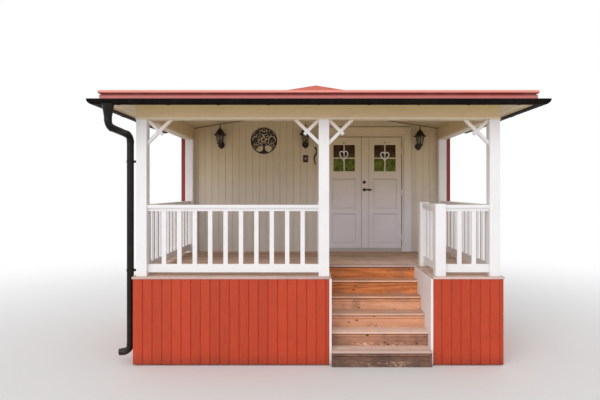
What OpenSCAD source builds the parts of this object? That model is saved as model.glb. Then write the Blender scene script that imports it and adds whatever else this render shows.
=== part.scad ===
// Entrance porch of a timber house: raised deck with recessed stairs, white posts and railings,
// a hipped sheet metal roof with gutters, and the boarded house wall with its double door.
// Millimetres. X runs along the house wall, -Y is the garden side, Z is up from the ground.
// The origin is on the ground in the middle of the plan.

/* [Porch] */
// Width over the outer faces of the corner posts
porch_w = 4736; // [4300:2:5400]
// Depth from the front face of the posts to the house wall
porch_d = 2800; // [2500:5:3400]
// Height of the deck above the ground
deck_h = 1150; // [1080:2:1300]
// Thickness of the deck boards
deck_t = 28; // [22:1:40]
// How far the deck boards stand out past the skirts
deck_lip = 12; // [5:1:25]
// Free height from the deck to the underside of the beams
head_h = 2044; // [1980:1:2400]
// Height of the board along the foot of the beams
beam_board_h = 18; // [12:1:30]
// How far that board stands out past the posts
beam_board_out = 8; // [4:1:15]

/* [Posts and braces] */
// Side of the square posts
post_s = 136; // [110:1:160]
// Middle of the post between the sitting bay and the stairs
mid_post_x = 76; // [40:1:110]
// Middle of the newel post on the other side of the stairs
newel_x = 1595; // [1580:1:1640]
// How far the newels stand up past the handrail
newel_proud = 14; // [5:1:40]
// Width and thickness of a brace bar
brace_s = 42; // [32:1:50]
// Distance from the post and beam corner to where a long brace lands
brace_reach = 300; // [240:5:380]
// How far a short brace runs on past the long one
brace_tail = 55; // [35:1:80]

/* [Railings] */
// Height of the top of the handrail above the deck
rail_h = 931; // [880:1:1000]
// Width of the handrail board
rail_cap_w = 95; // [80:1:120]
// Thickness of the handrail board
rail_cap_t = 40; // [28:1:50]
// Height of the rail under the handrail
under_rail_h = 42; // [30:1:60]
// Height of the bottom rail
bottom_rail_h = 106; // [70:1:120]
// Gap between the deck and the bottom rail
bottom_gap = 48; // [40:1:110]
// Thickness of the under rail and the bottom rail
rail_t = 45; // [40:1:60]
// Width of a baluster
baluster_w = 56; // [40:1:64]
// Thickness of a baluster
baluster_t = 34; // [25:1:38]
// Distance between the middles of the balusters
baluster_pitch = 202; // [130:1:220]

/* [Stairs] */
// Ends of the treads beside the middle post
stair_x0 = 175; // [165:1:200]
// Ends of the treads beside the newel
stair_x1 = 1460; // [1420:1:1480]
// Number of risers from the ground to the deck
risers = 6; // [5:1:7]
// Height of the lowest tread above the ground
foot_rise = 212; // [150:1:230]
// Distance from one riser to the next
going = 230; // [200:1:250]
// Distance from the post faces back to the top riser
stair_run = 1055; // [1040:5:1200]
// Thickness of a tread
tread_t = 27; // [22:1:45]
// How far a tread stands out past its riser
nosing = 25; // [15:1:40]
// Thickness of a riser board
riser_t = 22; // [18:1:28]
// Thickness of the white cheek boards
cheek_t = 30; // [20:1:40]
// Thickness of a stringer under the treads
stringer_t = 45; // [36:1:60]

/* [Skirts and floor frame] */
// Thickness of the skirt boards
skirt_t = 25; // [20:1:32]
// Gap between the ground and the skirts
skirt_gap = 14; // [8:1:60]
// Height of the floor beams and joists
beam_floor_h = 170; // [140:1:200]
// Width of the floor beams
beam_floor_w = 95; // [80:1:120]
// Thickness of a joist
joist_t = 45; // [38:1:60]
// Distance between the joists
joist_pitch = 560; // [400:5:620]
// Side of the square foundation piers
pier_s = 190; // [150:5:240]

/* [Roof] */
// How far the roof sheets reach past the post faces
eave_over = 355; // [330:1:480]
// Height of the roof sheet edge above the underside of the beams
eave_up = 312; // [295:1:360]
// Rise of the roof from the eave to its peak on the wall
roof_rise = 436; // [380:2:560]
// Thickness of the roof sheets, with their folds
sheet_t = 6; // [3:1:10]
// Thickness of the roof boards
roof_board_t = 23; // [20:1:30]
// Height of the rafters
rafter_h = 120; // [100:1:150]
// Thickness of the rafters
rafter_t = 48; // [38:1:60]
// Distance between the rafters and between the seams
rafter_pitch = 600; // [480:5:700]
// Thickness of the ceiling boards
ceiling_t = 18; // [14:1:24]
// Height of the folded sheet edge at the eave
drip_h = 36; // [28:1:45]
// Height of the standing seams
seam_h = 20; // [14:1:30]
// Distance from the eave over which a seam rises to its full height
seam_run = 420; // [300:10:600]
// Thickness of a standing seam
seam_t = 9; // [6:1:14]
// Height of the flashing on the house wall
flashing_h = 260; // [180:5:300]
// Width of the flashing on the roof
flashing_w = 110; // [80:5:160]

/* [Gutters and pipe] */
// Outer radius of the half round gutters
gutter_r = 64; // [56:1:72]
// Wall of the gutters and of the pipe
gutter_wall = 3; // [2:0.5:4]
// Height of the gutter rim below the roof sheet edge
gutter_drop = 125; // [115:1:140]
// Distance between the gutter brackets
bracket_pitch = 614; // [500:5:800]
// Width of a gutter bracket
bracket_w = 30; // [20:1:40]
// Thickness of the bracket strap
strap_t = 4; // [3:0.5:6]
// Outer radius of the downpipe
pipe_r = 45; // [38:1:50]
// Distance from the corner post to the middle of the pipe
pipe_off = 97; // [90:1:130]
// Radius of the funnel at the gutter
funnel_r = 74; // [60:1:80]
// Height of the funnel under the gutter
funnel_h = 164; // [100:2:200]
// Distance from the outer end of the gutter to the outlet
outlet_in = 244; // [220:2:320]
// Angle of the pipe bends
bend_angle = 82; // [60:1:86]
// Radius of the pipe bends
bend_r = 95; // [80:1:120]

/* [House wall] */
// Width of the boarded house wall behind the porch
wall_w = 4940; // [4800:2:5600]
// Thickness of the house wall
wall_t = 200; // [160:1:260]
// Height of the footing below the deck
footing_drop = 60; // [40:1:100]

/* [Double door] */
// Left edge of the opening for the door leaves
door_x0 = 203; // [120:1:240]
// Width of the opening for the door leaves
door_w = 1373; // [1250:1:1450]
// Gap between the top casing and the ceiling at its outer end
casing_clear = 60; // [20:1:160]
// Thickness of a door leaf
leaf_t = 45; // [40:1:56]
// Height of the threshold above the deck
threshold_h = 62; // [40:1:80]
// Gap round each door leaf
door_gap = 5; // [5:0.5:8]
// Width of the door frame members
frame_w = 52; // [45:1:60]
// Depth of the door frame
frame_d = 110; // [95:1:130]
// How far the frame stands in behind the leaves
stop_w = 16; // [12:1:20]
// Width of the casing boards
casing_w = 139; // [110:1:150]
// Thickness of the casing boards
casing_t = 22; // [18:1:28]
// Share of the frame face that the casing leaves bare
frame_bare = 42; // [30:1:45]
// How far the leaf faces lie behind the wall face
leaf_in = 2; // [0:1:6]
// Width of the raised cover strip on the opening leaf
cover_w = 128; // [90:1:140]
// How far the leaves meet towards the opening leaf, from the middle without its strip
meet_off = 14; // [0:1:30]
// Width of a door window
pane_w = 406; // [340:1:430]
// Height of a door window
pane_h = 496; // [420:1:540]
// Height of the leaf above its window
top_rail = 134; // [110:1:180]
// Height of the rail under the window
under_pane = 131; // [90:1:160]
// Height of the rail between the two panels
mid_rail = 94; // [70:1:120]
// Height of the lower panel
low_panel_h = 527; // [420:1:600]
// Height of the bottom rail of a leaf
bottom_rail = 106; // [90:1:160]
// Depth of the sunk edge round a panel
panel_depth = 9; // [4:1:12]
// Height of the lever above the foot of the leaf
handle_h = 1068; // [980:1:1120]
// Thickness of the window glass
glass_t = 6; // [4:1:8]

/* [Wall fittings] */
// Gap between the tip of the outer lantern and the ceiling
lantern_clear = 22; // [12:1:150]
// Width of a lantern roof
lantern_w = 220; // [180:2:240]
// Diameter of the openwork disc
disc_d = 484; // [400:2:520]
// Gap between the disc and the ceiling at its outer side
disc_clear = 157; // [100:1:300]
// Place of the disc middle along the wall
disc_x = -952; // [-1100:2:-800]

/* [Hidden] */

WHITE = [0.90, 0.88, 0.86];
RED = [0.72, 0.22, 0.15];
BLACK = [0.10, 0.09, 0.08];
PINE = [0.72, 0.42, 0.24];
GREY_WOOD = [0.55, 0.48, 0.43];
CONCRETE = [0.60, 0.59, 0.56];
GLASS = [0.20, 0.26, 0.18];
FINE = 48;

// Plan of the whole porch
half_w = porch_w / 2;
drip_in = 30;                                     // from the sheet edge in to the fascia
fascia_t = 22;
gutter_c = gutter_r + strap_t - drip_in;          // gutter middle outside the sheet edge
reach = eave_over + gutter_c + gutter_r + strap_t; // outermost point past the post faces
post_y = reach - (reach + porch_d + wall_t) / 2;  // front face of the posts
wall_y = post_y + porch_d;                        // face of the house wall
back_y = wall_y + wall_t;
eave_x = half_w + eave_over;
eave_y = post_y - eave_over;
skirt_out = 32;                                   // skirt face past the post faces
joint = 1;                                        // gap where two timbers or two sheets butt

// Heights
floor_z = deck_h - deck_t;
beam_z = deck_h + head_h;
eave_z = beam_z + eave_up;                        // top of the roof sheets at their edge
peak_z = eave_z + roof_rise;
boards_off = sheet_t;
rafter_off = boards_off + roof_board_t;
ceiling_off = rafter_off + rafter_h;
soffit_off = ceiling_off + ceiling_t;
gutter_z = eave_z - gutter_drop;
side_slope = roof_rise / eave_x;
wall_half = wall_w / 2;

// Underside of the ceiling at the house wall
function ceiling_z(x) = eave_z - soffit_off + (eave_x - abs(x)) * side_slope;

// Post places
corner_x = half_w - post_s / 2;
row_y = post_y + post_s / 2;                      // middle line of the front posts
wall_row_y = wall_y - post_s / 2;
newel_fore = 50;                                  // rear newels, forward from the top riser
rear_newel_y = post_y + stair_run - newel_fore;

// Stairs
rise = (deck_h - foot_rise) / (risers - 1);
skirt_y = post_y - skirt_out;

// Double door
door_x1 = door_x0 + door_w;
leaf_z = deck_h + threshold_h + door_gap;
casing_x = door_x1 + frame_bare + casing_w;       // outer end of the casing
leaf_top = round(ceiling_z(casing_x) - casing_clear - casing_w - frame_bare - door_gap);
leaf_h = leaf_top - leaf_z;
leaf_y = wall_y + leaf_in;
hinge_r = 8;
hinge_plate = 6;
cover_t = 14;
meet_x = door_x0 + (door_w - cover_w) / 2 + meet_off; // where the leaves meet
hinge_y = leaf_y - hinge_plate - hinge_r + 1;

// A box from its lowest corner to its highest corner
module box(low, high) {
    translate(low)
        cube([high[0] - low[0], high[1] - low[1], high[2] - low[2]]);
}

module mirror_copy() {
    children();
    mirror([1, 0, 0])
        children();
}

// A profile in X and Z, run along Y between two places
module run_y(y0, y1) {
    translate([0, y1, 0])
        rotate([90, 0, 0])
            linear_extrude(y1 - y0)
                children();
}

// A profile in Y and Z, run along X between two places
module run_x(x0, x1) {
    translate([x0, 0, 0])
        rotate([90, 0, 90])
            linear_extrude(x1 - x0)
                children();
}

// Everything under the three roof slopes, a given depth below the sheets
module under_roof(off) {
    intersection() {
        run_y(eave_y, wall_y)
            polygon([[-eave_x, 0], [-eave_x, eave_z - off], [0, peak_z - off], [eave_x, eave_z - off],
                [eave_x, 0]]);
        run_x(-eave_x, eave_x)
            polygon([[eave_y, 0], [wall_y, 0], [wall_y, peak_z - off], [eave_y, eave_z - off]]);
    }
}

// Everything under the tops of the seams, which are laid down towards the eaves
module under_seams() {
    front_slope = roof_rise / (wall_y - eave_y);
    x = eave_x - seam_run;
    side_z = eave_z + seam_run * side_slope + seam_h;
    front_z = eave_z + seam_run * front_slope + seam_h;
    start_z = eave_z - sheet_t / 2;
    intersection() {
        run_y(eave_y, wall_y)
            polygon([[-eave_x, 0], [-eave_x, start_z], [-x, side_z], [0, peak_z + seam_h], [x, side_z],
                [eave_x, start_z], [eave_x, 0]]);
        run_x(-eave_x, eave_x)
            polygon([[eave_y, 0], [wall_y, 0], [wall_y, peak_z + seam_h], [eave_y + seam_run, front_z],
                [eave_y, start_z]]);
    }
}

// Plan strips over the two hips
module hip_lines(thick) {
    for (s = [-1, 1])
        translate([0, wall_y])
            rotate(atan2(eave_y - wall_y, s * eave_x))
                translate([0, -thick / 2])
                    square([norm([eave_x, wall_y - eave_y]) + 2 * thick, thick]);
}

// The plan of one slope, drawn in from the sheet edge, with a joint along the hips
module slope_plan(side, inset) {
    intersection() {
        difference() {
            if (side == "front")
                polygon([[-eave_x, eave_y], [eave_x, eave_y], [0, wall_y]]);
            else if (side == "left")
                polygon([[-eave_x, eave_y], [0, wall_y], [-eave_x, wall_y]]);
            else
                polygon([[eave_x, eave_y], [eave_x, wall_y], [0, wall_y]]);
            hip_lines(joint);
        }
        inner_plan(inset);
    }
}

// The plan of the whole roof, drawn in from the sheet edge
module inner_plan(inset) {
    translate([-eave_x + inset, eave_y + inset])
        square([2 * (eave_x - inset), wall_y - eave_y - inset]);
}

// A roof layer over its plan, between two depths below the sheets
module roof_layer(top_off, low_off) {
    intersection() {
        difference() {
            under_roof(top_off);
            under_roof(low_off);
        }
        linear_extrude(2 * peak_z)
            children();
    }
}

SLOPES = ["front", "left", "right"];

// Foundation and floor frame
cheek_in_x = stair_x0 - cheek_t;
cheek_out_x = stair_x1 + cheek_t;
trim_y = post_y + stair_run + riser_t;            // back of the top riser
frame_side = half_w + skirt_out - skirt_t;        // outer face of the side floor beams
frame_front = post_y - skirt_out + skirt_t;       // outer face of the front floor beams
beam_low = floor_z - beam_floor_h;

// A pier by its lowest plan corner
module pier(x, y) {
    translate([x, y, 0])
        cube([pier_s, pier_s, beam_low]);
}

module foundation_piers() {
    mid_y = (frame_front + wall_y) / 2;
    color(CONCRETE)
        for (x = [-frame_side, (-frame_side + cheek_in_x - pier_s) / 2, cheek_in_x - pier_s, cheek_out_x,
                frame_side - pier_s]) {
            pier(x, frame_front);
            pier(x, mid_y);
        }
}

// A floor beam or joist by its plan corners
module floor_timber(x0, y0, x1, y1) {
    box([x0, y0, beam_low], [x1, y1, floor_z]);
}

module floor_beams() {
    w = beam_floor_w;
    side = frame_side - w - joint;
    color(PINE) {
        mirror_copy()
            floor_timber(frame_side - w, frame_front, frame_side, wall_y);
        floor_timber(-side, frame_front, cheek_in_x, frame_front + w);
        floor_timber(cheek_out_x, frame_front, side, frame_front + w);
        floor_timber(-side, wall_y - w, side, wall_y);
        for (x = [cheek_in_x - w, cheek_out_x])
            floor_timber(x, frame_front + w + joint, x + w, wall_y - w - joint);
        floor_timber(cheek_in_x + joint, trim_y, cheek_out_x - joint, trim_y + w);
    }
}

// Joists between two cross beams, spread evenly
module joist_field(x0, x1, y0, y1) {
    count = max(1, round((x1 - x0) / joist_pitch) - 1);
    step = (x1 - x0) / (count + 1);
    for (i = [1:count])
        floor_timber(x0 + i * step - joist_t / 2, y0, x0 + i * step + joist_t / 2, y1);
}

module floor_joists() {
    w = beam_floor_w;
    color(PINE) {
        joist_field(-frame_side + w, cheek_in_x - w, frame_front + w, wall_y - w);
        joist_field(cheek_out_x + w, frame_side - w, frame_front + w, wall_y - w);
        joist_field(cheek_in_x, cheek_out_x, trim_y + w, wall_y - w);
    }
}

deck_x = half_w + skirt_out + deck_lip;           // edges of the deck
deck_y = skirt_y - deck_lip;
deck_back_y = post_y + stair_run - nosing;        // deck edge over the top riser

module deck_floor() {
    color(GREY_WOOD) {
        box([-deck_x, deck_y, floor_z], [cheek_in_x, wall_y, deck_h]);
        box([cheek_in_x + joint, deck_back_y, floor_z], [cheek_out_x - joint, wall_y, deck_h]);
        box([cheek_out_x, deck_y, floor_z], [deck_x, wall_y, deck_h]);
    }
}

module skirts() {
    side = half_w + skirt_out;
    color(RED) {
        box([-side, skirt_y, skirt_gap], [cheek_in_x, skirt_y + skirt_t, floor_z]);
        box([cheek_out_x, skirt_y, skirt_gap], [side, skirt_y + skirt_t, floor_z]);
        mirror_copy()
            box([frame_side, skirt_y + skirt_t + joint, skirt_gap], [side, wall_y, floor_z]);
    }
}

// Stairs, let into the deck
module stair_cheeks() {
    color(WHITE) {
        box([cheek_in_x, skirt_y, skirt_gap], [stair_x0, trim_y, floor_z]);
        box([stair_x1, skirt_y, skirt_gap], [cheek_out_x, trim_y, floor_z]);
    }
}

// Front face of a riser and underside of the tread over it, counted from the ground
function riser_y(i) = post_y + stair_run - (risers - 1 - i) * going;
function tread_z(i) = round(foot_rise + i * rise) - tread_t;

module stair_stringers() {
    last = risers - 2;
    steps = [for (i = [0:last])
        each [[riser_y(i) + riser_t, tread_z(i)], [riser_y(i + 1) + riser_t, tread_z(i)]]];
    color(PINE)
        for (x = [stair_x0, (stair_x0 + stair_x1 - stringer_t) / 2, stair_x1 - stringer_t])
            run_x(x, x + stringer_t)
                polygon(concat([[riser_y(0) + riser_t, 0]], steps,
                    [[trim_y, tread_z(last) - 2 * rise], [riser_y(1) + riser_t, 0]]));
}

module stair_treads() {
    color(GREY_WOOD)
        for (i = [0:risers - 2])
            box([stair_x0 + joint, riser_y(i) - nosing, tread_z(i)],
                [stair_x1 - joint, riser_y(i + 1), tread_z(i) + tread_t]);
}

module stair_risers() {
    color(PINE)
        for (i = [0:risers - 1])
            box([stair_x0 + joint, riser_y(i), i == 0 ? joint : tread_z(i - 1)],
                [stair_x1 - joint, riser_y(i) + riser_t, i == risers - 1 ? floor_z : tread_z(i)]);
}

// Posts
module post(x, y, z0, z1) {
    box([x - post_s / 2, y - post_s / 2, z0], [x + post_s / 2, y + post_s / 2, z1]);
}

module roof_posts() {
    color(WHITE) {
        post(mid_post_x, row_y, deck_h, beam_z);
        mirror_copy() {
            post(corner_x, row_y, deck_h, beam_z);
            post(corner_x, wall_row_y, deck_h, beam_z);
        }
    }
}

module newel_posts() {
    top = deck_h + rail_h + newel_proud;
    color(WHITE)
        for (at = [[newel_x, row_y], [newel_x, rear_newel_y], [mid_post_x, rear_newel_y]])
            post(at[0], at[1], deck_h, top);
}

// Beams, cut to the slope of the ceiling
module roof_beams() {
    out = beam_board_out;
    board_z = beam_z + beam_board_h;
    color(WHITE) {
        intersection() {
            under_roof(soffit_off);
            union() {
                box([-half_w, post_y, beam_z], [half_w, post_y + post_s, peak_z]);
                box([-half_w - out, post_y - out, beam_z], [half_w + out, post_y + post_s, board_z]);
            }
        }
        mirror_copy()
            intersection() {
                under_roof(soffit_off);
                union() {
                    box([half_w - post_s, post_y + post_s + joint, beam_z], [half_w, wall_y, peak_z]);
                    box([half_w - post_s, post_y + post_s + joint, beam_z], [half_w + out, wall_y, board_z]);
                }
            }
    }
}

// A pair of crossing bars in the corner between a post and the beam, opening towards +X
module brace_cross() {
    half = brace_s / 2;
    long = brace_reach * sqrt(2);
    cross = brace_reach / 2;
    run_y(row_y - half, row_y + half)
        intersection() {
            translate([0, -2 * brace_reach])
                square(2 * brace_reach);
            union() {
                translate([cross, -cross])
                    rotate(45)
                        square([long + 2 * brace_s, brace_s], center = true);
                rotate(-45)
                    translate([-half, -half])
                        square([cross * sqrt(2) + brace_tail + half, brace_s]);
            }
        }
}

module corner_braces() {
    left_face = -half_w + post_s;
    mid_right = mid_post_x + post_s / 2;
    mid_left = mid_post_x - post_s / 2;
    color(WHITE) {
        for (x = [left_face, mid_right])
            translate([x, 0, beam_z])
                brace_cross();
        for (x = [mid_left, -left_face])
            translate([x, 0, beam_z])
                mirror([1, 0, 0])
                    brace_cross();
    }
}

// Railings
// A railing along +X from the origin, standing on the deck
module railing(length) {
    count = max(1, round(length / baluster_pitch) - 1);
    low = deck_h + bottom_gap;
    high = deck_h + rail_h - rail_cap_t - under_rail_h;
    low_top = low + bottom_rail_h;
    cap = high + under_rail_h;
    w = baluster_w / 2;
    t = baluster_t / 2;
    box([0, -rail_cap_w / 2, cap], [length, rail_cap_w / 2, cap + rail_cap_t]);
    box([0, -rail_t / 2, high], [length, rail_t / 2, cap]);
    box([0, -rail_t / 2, low], [length, rail_t / 2, low_top]);
    for (i = [0:count - 1]) {
        x = length / 2 + (i - (count - 1) / 2) * min(baluster_pitch, length / (count + 1));
        box([x - w, -t, low_top], [x + w, t, high]);
    }
}

module railings_front() {
    left = -half_w + post_s;
    right = newel_x + post_s / 2;
    color(WHITE) {
        translate([left, row_y, 0])
            railing(mid_post_x - post_s / 2 - left);
        translate([right, row_y, 0])
            railing(half_w - post_s - right);
    }
}

// A railing along +Y between two places
module deep_railing(x, y0, y1) {
    translate([x, y0, 0])
        rotate(90)
            railing(y1 - y0);
}

module railings_side() {
    color(WHITE)
        mirror_copy()
            deep_railing(corner_x, post_y + post_s, wall_y - post_s);
}

module railings_stair() {
    color(WHITE)
        for (x = [mid_post_x, newel_x])
            deep_railing(x, post_y + post_s, rear_newel_y - post_s / 2);
}

// Roof
inner_in = drip_in + fascia_t;                    // from the sheet edge in to the rafter ends

module ceiling() {
    color(WHITE)
        for (side = SLOPES)
            roof_layer(ceiling_off, soffit_off)
                slope_plan(side, inner_in);
}

// Plan lines of the rafters or the seams on one slope
module slope_lines(side, thick) {
    cols = floor((eave_x - thick) / rafter_pitch);
    rows = floor((wall_y - eave_y - thick) / rafter_pitch);
    if (side == "front")
        for (i = [-cols:cols])
            translate([i * rafter_pitch - thick / 2, eave_y])
                square([thick, wall_y - eave_y]);
    else
        for (i = [0:rows - 1])
            translate([-eave_x, wall_y - (i + 0.5) * rafter_pitch - thick / 2])
                square([2 * eave_x, thick]);
}

module rafters() {
    color(PINE) {
        roof_layer(rafter_off, ceiling_off)
            intersection() {
                hip_lines(rafter_t);
                inner_plan(inner_in);
            }
        for (side = SLOPES)
            roof_layer(rafter_off, ceiling_off)
                difference() {
                    intersection() {
                        slope_lines(side, rafter_t);
                        slope_plan(side, inner_in);
                    }
                    hip_lines(rafter_t + 2 * joint);
                }
    }
}

module roof_boards() {
    color(PINE)
        roof_layer(boards_off, rafter_off)
            inner_plan(drip_in);
}

// One slope of sheet metal with its standing seams and its folded edge
module roof_sheet(side) {
    roof_layer(0, sheet_t)
        slope_plan(side, 0);
    intersection() {
        difference() {
            under_seams();
            under_roof(joint);
        }
        linear_extrude(2 * peak_z)
            intersection() {
                slope_plan(side, 0);
                union() {
                    slope_lines(side, seam_t);
                    if (side == "front")
                        hip_lines(3 * seam_t);
                }
                translate([-eave_x, eave_y])
                    square([2 * eave_x, wall_y - eave_y - flashing_w]);
            }
    }
    intersection() {
        difference() {
            box([-eave_x, eave_y, eave_z - drip_h], [eave_x, wall_y, eave_z - sheet_t / 2]);
            box([-eave_x + sheet_t, eave_y + sheet_t, 0], [eave_x - sheet_t, back_y, peak_z]);
        }
        linear_extrude(peak_z)
            slope_plan(side, 0);
    }
}

module roof_sheets() {
    color(RED)
        for (side = SLOPES)
            roof_sheet(side);
}

// A level profile run along an eave, cut to a mitre at the corners.
// The profile's X is measured out from the sheet edge.
module eave_run_front(reach_in, reach_out) {
    intersection() {
        run_x(-eave_x - reach_out, eave_x + reach_out)
            translate([eave_y, 0])
                mirror([1, 0])
                    children();
        linear_extrude(peak_z)
            polygon([[-eave_x - reach_out, eave_y - reach_out], [eave_x + reach_out, eave_y - reach_out],
                [eave_x - reach_in, eave_y + reach_in], [-eave_x + reach_in, eave_y + reach_in]]);
    }
}

module eave_run_right(reach_in, reach_out) {
    intersection() {
        run_y(eave_y - reach_out, wall_y)
            translate([eave_x, 0])
                children();
        linear_extrude(peak_z)
            polygon([[eave_x + reach_out, eave_y - reach_out + joint], [eave_x + reach_out, wall_y],
                [eave_x - reach_in, wall_y], [eave_x - reach_in, eave_y + reach_in + joint]]);
    }
}

// The same profile on all three eaves
module eave_run(reach_in, reach_out) {
    eave_run_front(reach_in, reach_out)
        children();
    mirror_copy()
        eave_run_right(reach_in, reach_out)
            children();
}

module fascia_boards() {
    color(WHITE)
        intersection() {
            under_roof(rafter_off);
            eave_run(inner_in, 0)
                translate([-inner_in, eave_z - soffit_off])
                    square([fascia_t, soffit_off]);
        }
}

apron_drop = 20;                                  // from the folded sheet edge down to the flashing
apron_z = eave_z - drip_h - apron_drop;           // top of the eave flashing
apron_t = 3;
apron_lap = 8;                                    // how far it hangs into the gutter
lip_x = -13;                                      // its outer face, measured out from the sheet edge
upstand_h = 26;                                   // how far it stands up the fascia

module eave_flashing() {
    in = -drip_in;
    t = apron_t;
    low = gutter_z - apron_lap;
    color(RED)
        difference() {
            eave_run(drip_in, 0)
                polygon([[in, apron_z - t], [lip_x - t, apron_z - t], [lip_x - t, low], [lip_x, low],
                    [lip_x, apron_z], [in + t, apron_z], [in + t, apron_z + upstand_h],
                    [in, apron_z + upstand_h]]);
            box([-2 * eave_x, wall_y - gutter_wall - joint, 0], [2 * eave_x, back_y, gutter_z + joint]);
        }
}

module wall_flashing() {
    t = 4;
    low = peak_z - wall_half * side_slope;
    color(RED)
        union() {
            run_y(wall_y - t, wall_y)
                polygon([[-wall_half, low], [0, peak_z], [wall_half, low], [wall_half, low + flashing_h],
                    [0, peak_z + flashing_h], [-wall_half, low + flashing_h]]);
            roof_layer(-t, 0)
                translate([-wall_half, wall_y - flashing_w])
                    square([wall_w, flashing_w]);
        }
}

// Gutters
bead_r = 6;                                       // rolled outer edge of a gutter
outlet_r = pipe_r - 6;
end_gap = 100;                                    // least distance from a corner to a bracket

module gutter_profile() {
    translate([gutter_c, gutter_z])
        union() {
            difference() {
                circle(r = gutter_r, $fn = FINE);
                circle(r = gutter_r - gutter_wall, $fn = FINE);
                translate([-2 * gutter_r, 0])
                    square([4 * gutter_r, 2 * gutter_r]);
            }
            translate([gutter_r - bead_r, 0])
                circle(r = bead_r, $fn = FINE / 2);
        }
}

outlet_x = -(eave_x + gutter_c + gutter_r - outlet_in);
outlet_y = eave_y - gutter_c;

gutter_out = gutter_c + gutter_r + strap_t;       // how far out the gutters and brackets reach

module gutter_front() {
    color(BLACK)
        difference() {
            eave_run_front(drip_in, gutter_out)
                gutter_profile();
            translate([outlet_x, outlet_y, gutter_z - 2 * gutter_r])
                cylinder(r = outlet_r, h = 2 * gutter_r, $fn = FINE);
        }
}

module gutter_right() {
    color(BLACK)
        union() {
            eave_run_right(drip_in, gutter_out)
                gutter_profile();
            intersection() {
                translate([eave_x + gutter_c, wall_y, gutter_z])
                    rotate([90, 0, 0])
                        cylinder(r = gutter_r - 1, h = gutter_wall, $fn = FINE);
                box([0, 0, 0], [2 * eave_x, back_y, gutter_z]);
            }
        }
}

module gutter_left() {
    mirror([1, 0, 0])
        gutter_right();
}

// One strap under a gutter, with its arm up the fascia. X is measured out from the sheet edge.
module bracket_profile() {
    translate([gutter_c, gutter_z])
        difference() {
            circle(r = gutter_r + strap_t, $fn = FINE);
            circle(r = gutter_r, $fn = FINE);
            translate([-2 * gutter_r, 0])
                square([4 * gutter_r, 2 * gutter_r]);
        }
    translate([-drip_in, gutter_z])
        square([strap_t, apron_z - 2 * apron_t - gutter_z]);
}

module gutter_brackets() {
    front_count = floor((eave_x - end_gap) / bracket_pitch);
    side_count = floor((wall_y - eave_y - end_gap) / bracket_pitch);
    color(BLACK) {
        for (i = [-front_count:front_count])
            run_x(i * bracket_pitch - bracket_w / 2, i * bracket_pitch + bracket_w / 2)
                translate([eave_y, 0])
                    mirror([1, 0])
                        bracket_profile();
        mirror_copy()
            for (i = [0:side_count - 1]) {
                y = wall_y - (i + 0.5) * bracket_pitch;
                run_y(y - bracket_w / 2, y + bracket_w / 2)
                    translate([eave_x, 0])
                        bracket_profile();
            }
    }
}

// Downpipe with its funnel, two bends and the shoe at the foot
pipe_x = -half_w - pipe_off;
pipe_y = row_y;
funnel_low = gutter_z - gutter_r - funnel_h;
funnel_lap = 14;                                  // how far the funnel reaches up round the gutter
funnel_floor = 10;
shift = norm([pipe_x - outlet_x, pipe_y - outlet_y]);
bend_turn = atan2(pipe_y - outlet_y, pipe_x - outlet_x);
slant = (shift - 2 * bend_r * (1 - cos(bend_angle))) / sin(bend_angle);
bend_drop = 2 * bend_r * sin(bend_angle) + slant * cos(bend_angle);
neck = 15;
pipe_top = funnel_low - neck - bend_drop;
shoe_top = 250;
collar_t = 2.5;                                   // how far a pipe collar stands out
collar_len = 40;
shoe_leg = 60;

module leg(r, length) {
    cylinder(r = r, h = length, $fn = FINE);
}

// A bend that starts going down at the origin and turns towards +X
module bend() {
    translate([bend_r, 0, 0])
        rotate([90, 0, 0])
            rotate([0, 0, 180])
                rotate_extrude(angle = bend_angle, $fn = 2 * FINE)
                    translate([bend_r, 0])
                        circle(r = pipe_r, $fn = FINE);
}

// The place and direction at the far end of a bend
module after_bend() {
    translate([bend_r * (1 - cos(bend_angle)), 0, -bend_r * sin(bend_angle)])
        rotate([0, 180 - bend_angle, 0])
            children();
}

module collar() {
    translate([0, 0, -collar_len / 2])
        leg(pipe_r + collar_t, collar_len);
}

// Funnel under the gutter outlet, cut to seat on the round gutter
module funnel() {
    tall = funnel_h + funnel_lap;
    bore_r = pipe_r - gutter_wall;
    difference() {
        translate([outlet_x, outlet_y, funnel_low])
            difference() {
                cylinder(r1 = pipe_r, r2 = funnel_r, h = tall, $fn = FINE);
                translate([0, 0, funnel_floor])
                    cylinder(r1 = bore_r, r2 = funnel_r - gutter_wall, h = tall, $fn = FINE);
            }
        translate([outlet_x - 2 * gutter_r, outlet_y, gutter_z])
            rotate([0, 90, 0])
                cylinder(r = gutter_r, h = 4 * gutter_r, $fn = FINE);
    }
}

module downpipe() {
    color(BLACK)
        union() {
            funnel();
            translate([outlet_x, outlet_y, funnel_low - neck]) {
                leg(pipe_r, neck);
                rotate(bend_turn) {
                    collar();
                    bend();
                    after_bend() {
                        collar();
                        leg(pipe_r, slant);
                    }
                }
            }
            translate([pipe_x, pipe_y, pipe_top])
                rotate(bend_turn + 180)
                    mirror([0, 0, 1]) {
                        collar();
                        bend();
                        after_bend()
                            collar();
                    }
            translate([pipe_x, pipe_y, shoe_top])
                leg(pipe_r, pipe_top - shoe_top);
            translate([pipe_x, pipe_y, shoe_top])
                rotate(180) {
                    collar();
                    bend();
                    after_bend()
                        difference() {
                            union() {
                                collar();
                                leg(pipe_r, shoe_leg);
                            }
                            translate([0, 0, collar_len / 2])
                                leg(pipe_r - gutter_wall, shoe_leg);
                        }
                }
        }
}

clamp_rise = 60;                                  // lower clamp above the deck
clamp_drop = 273;                                 // upper clamp below the top of the straight pipe

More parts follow.
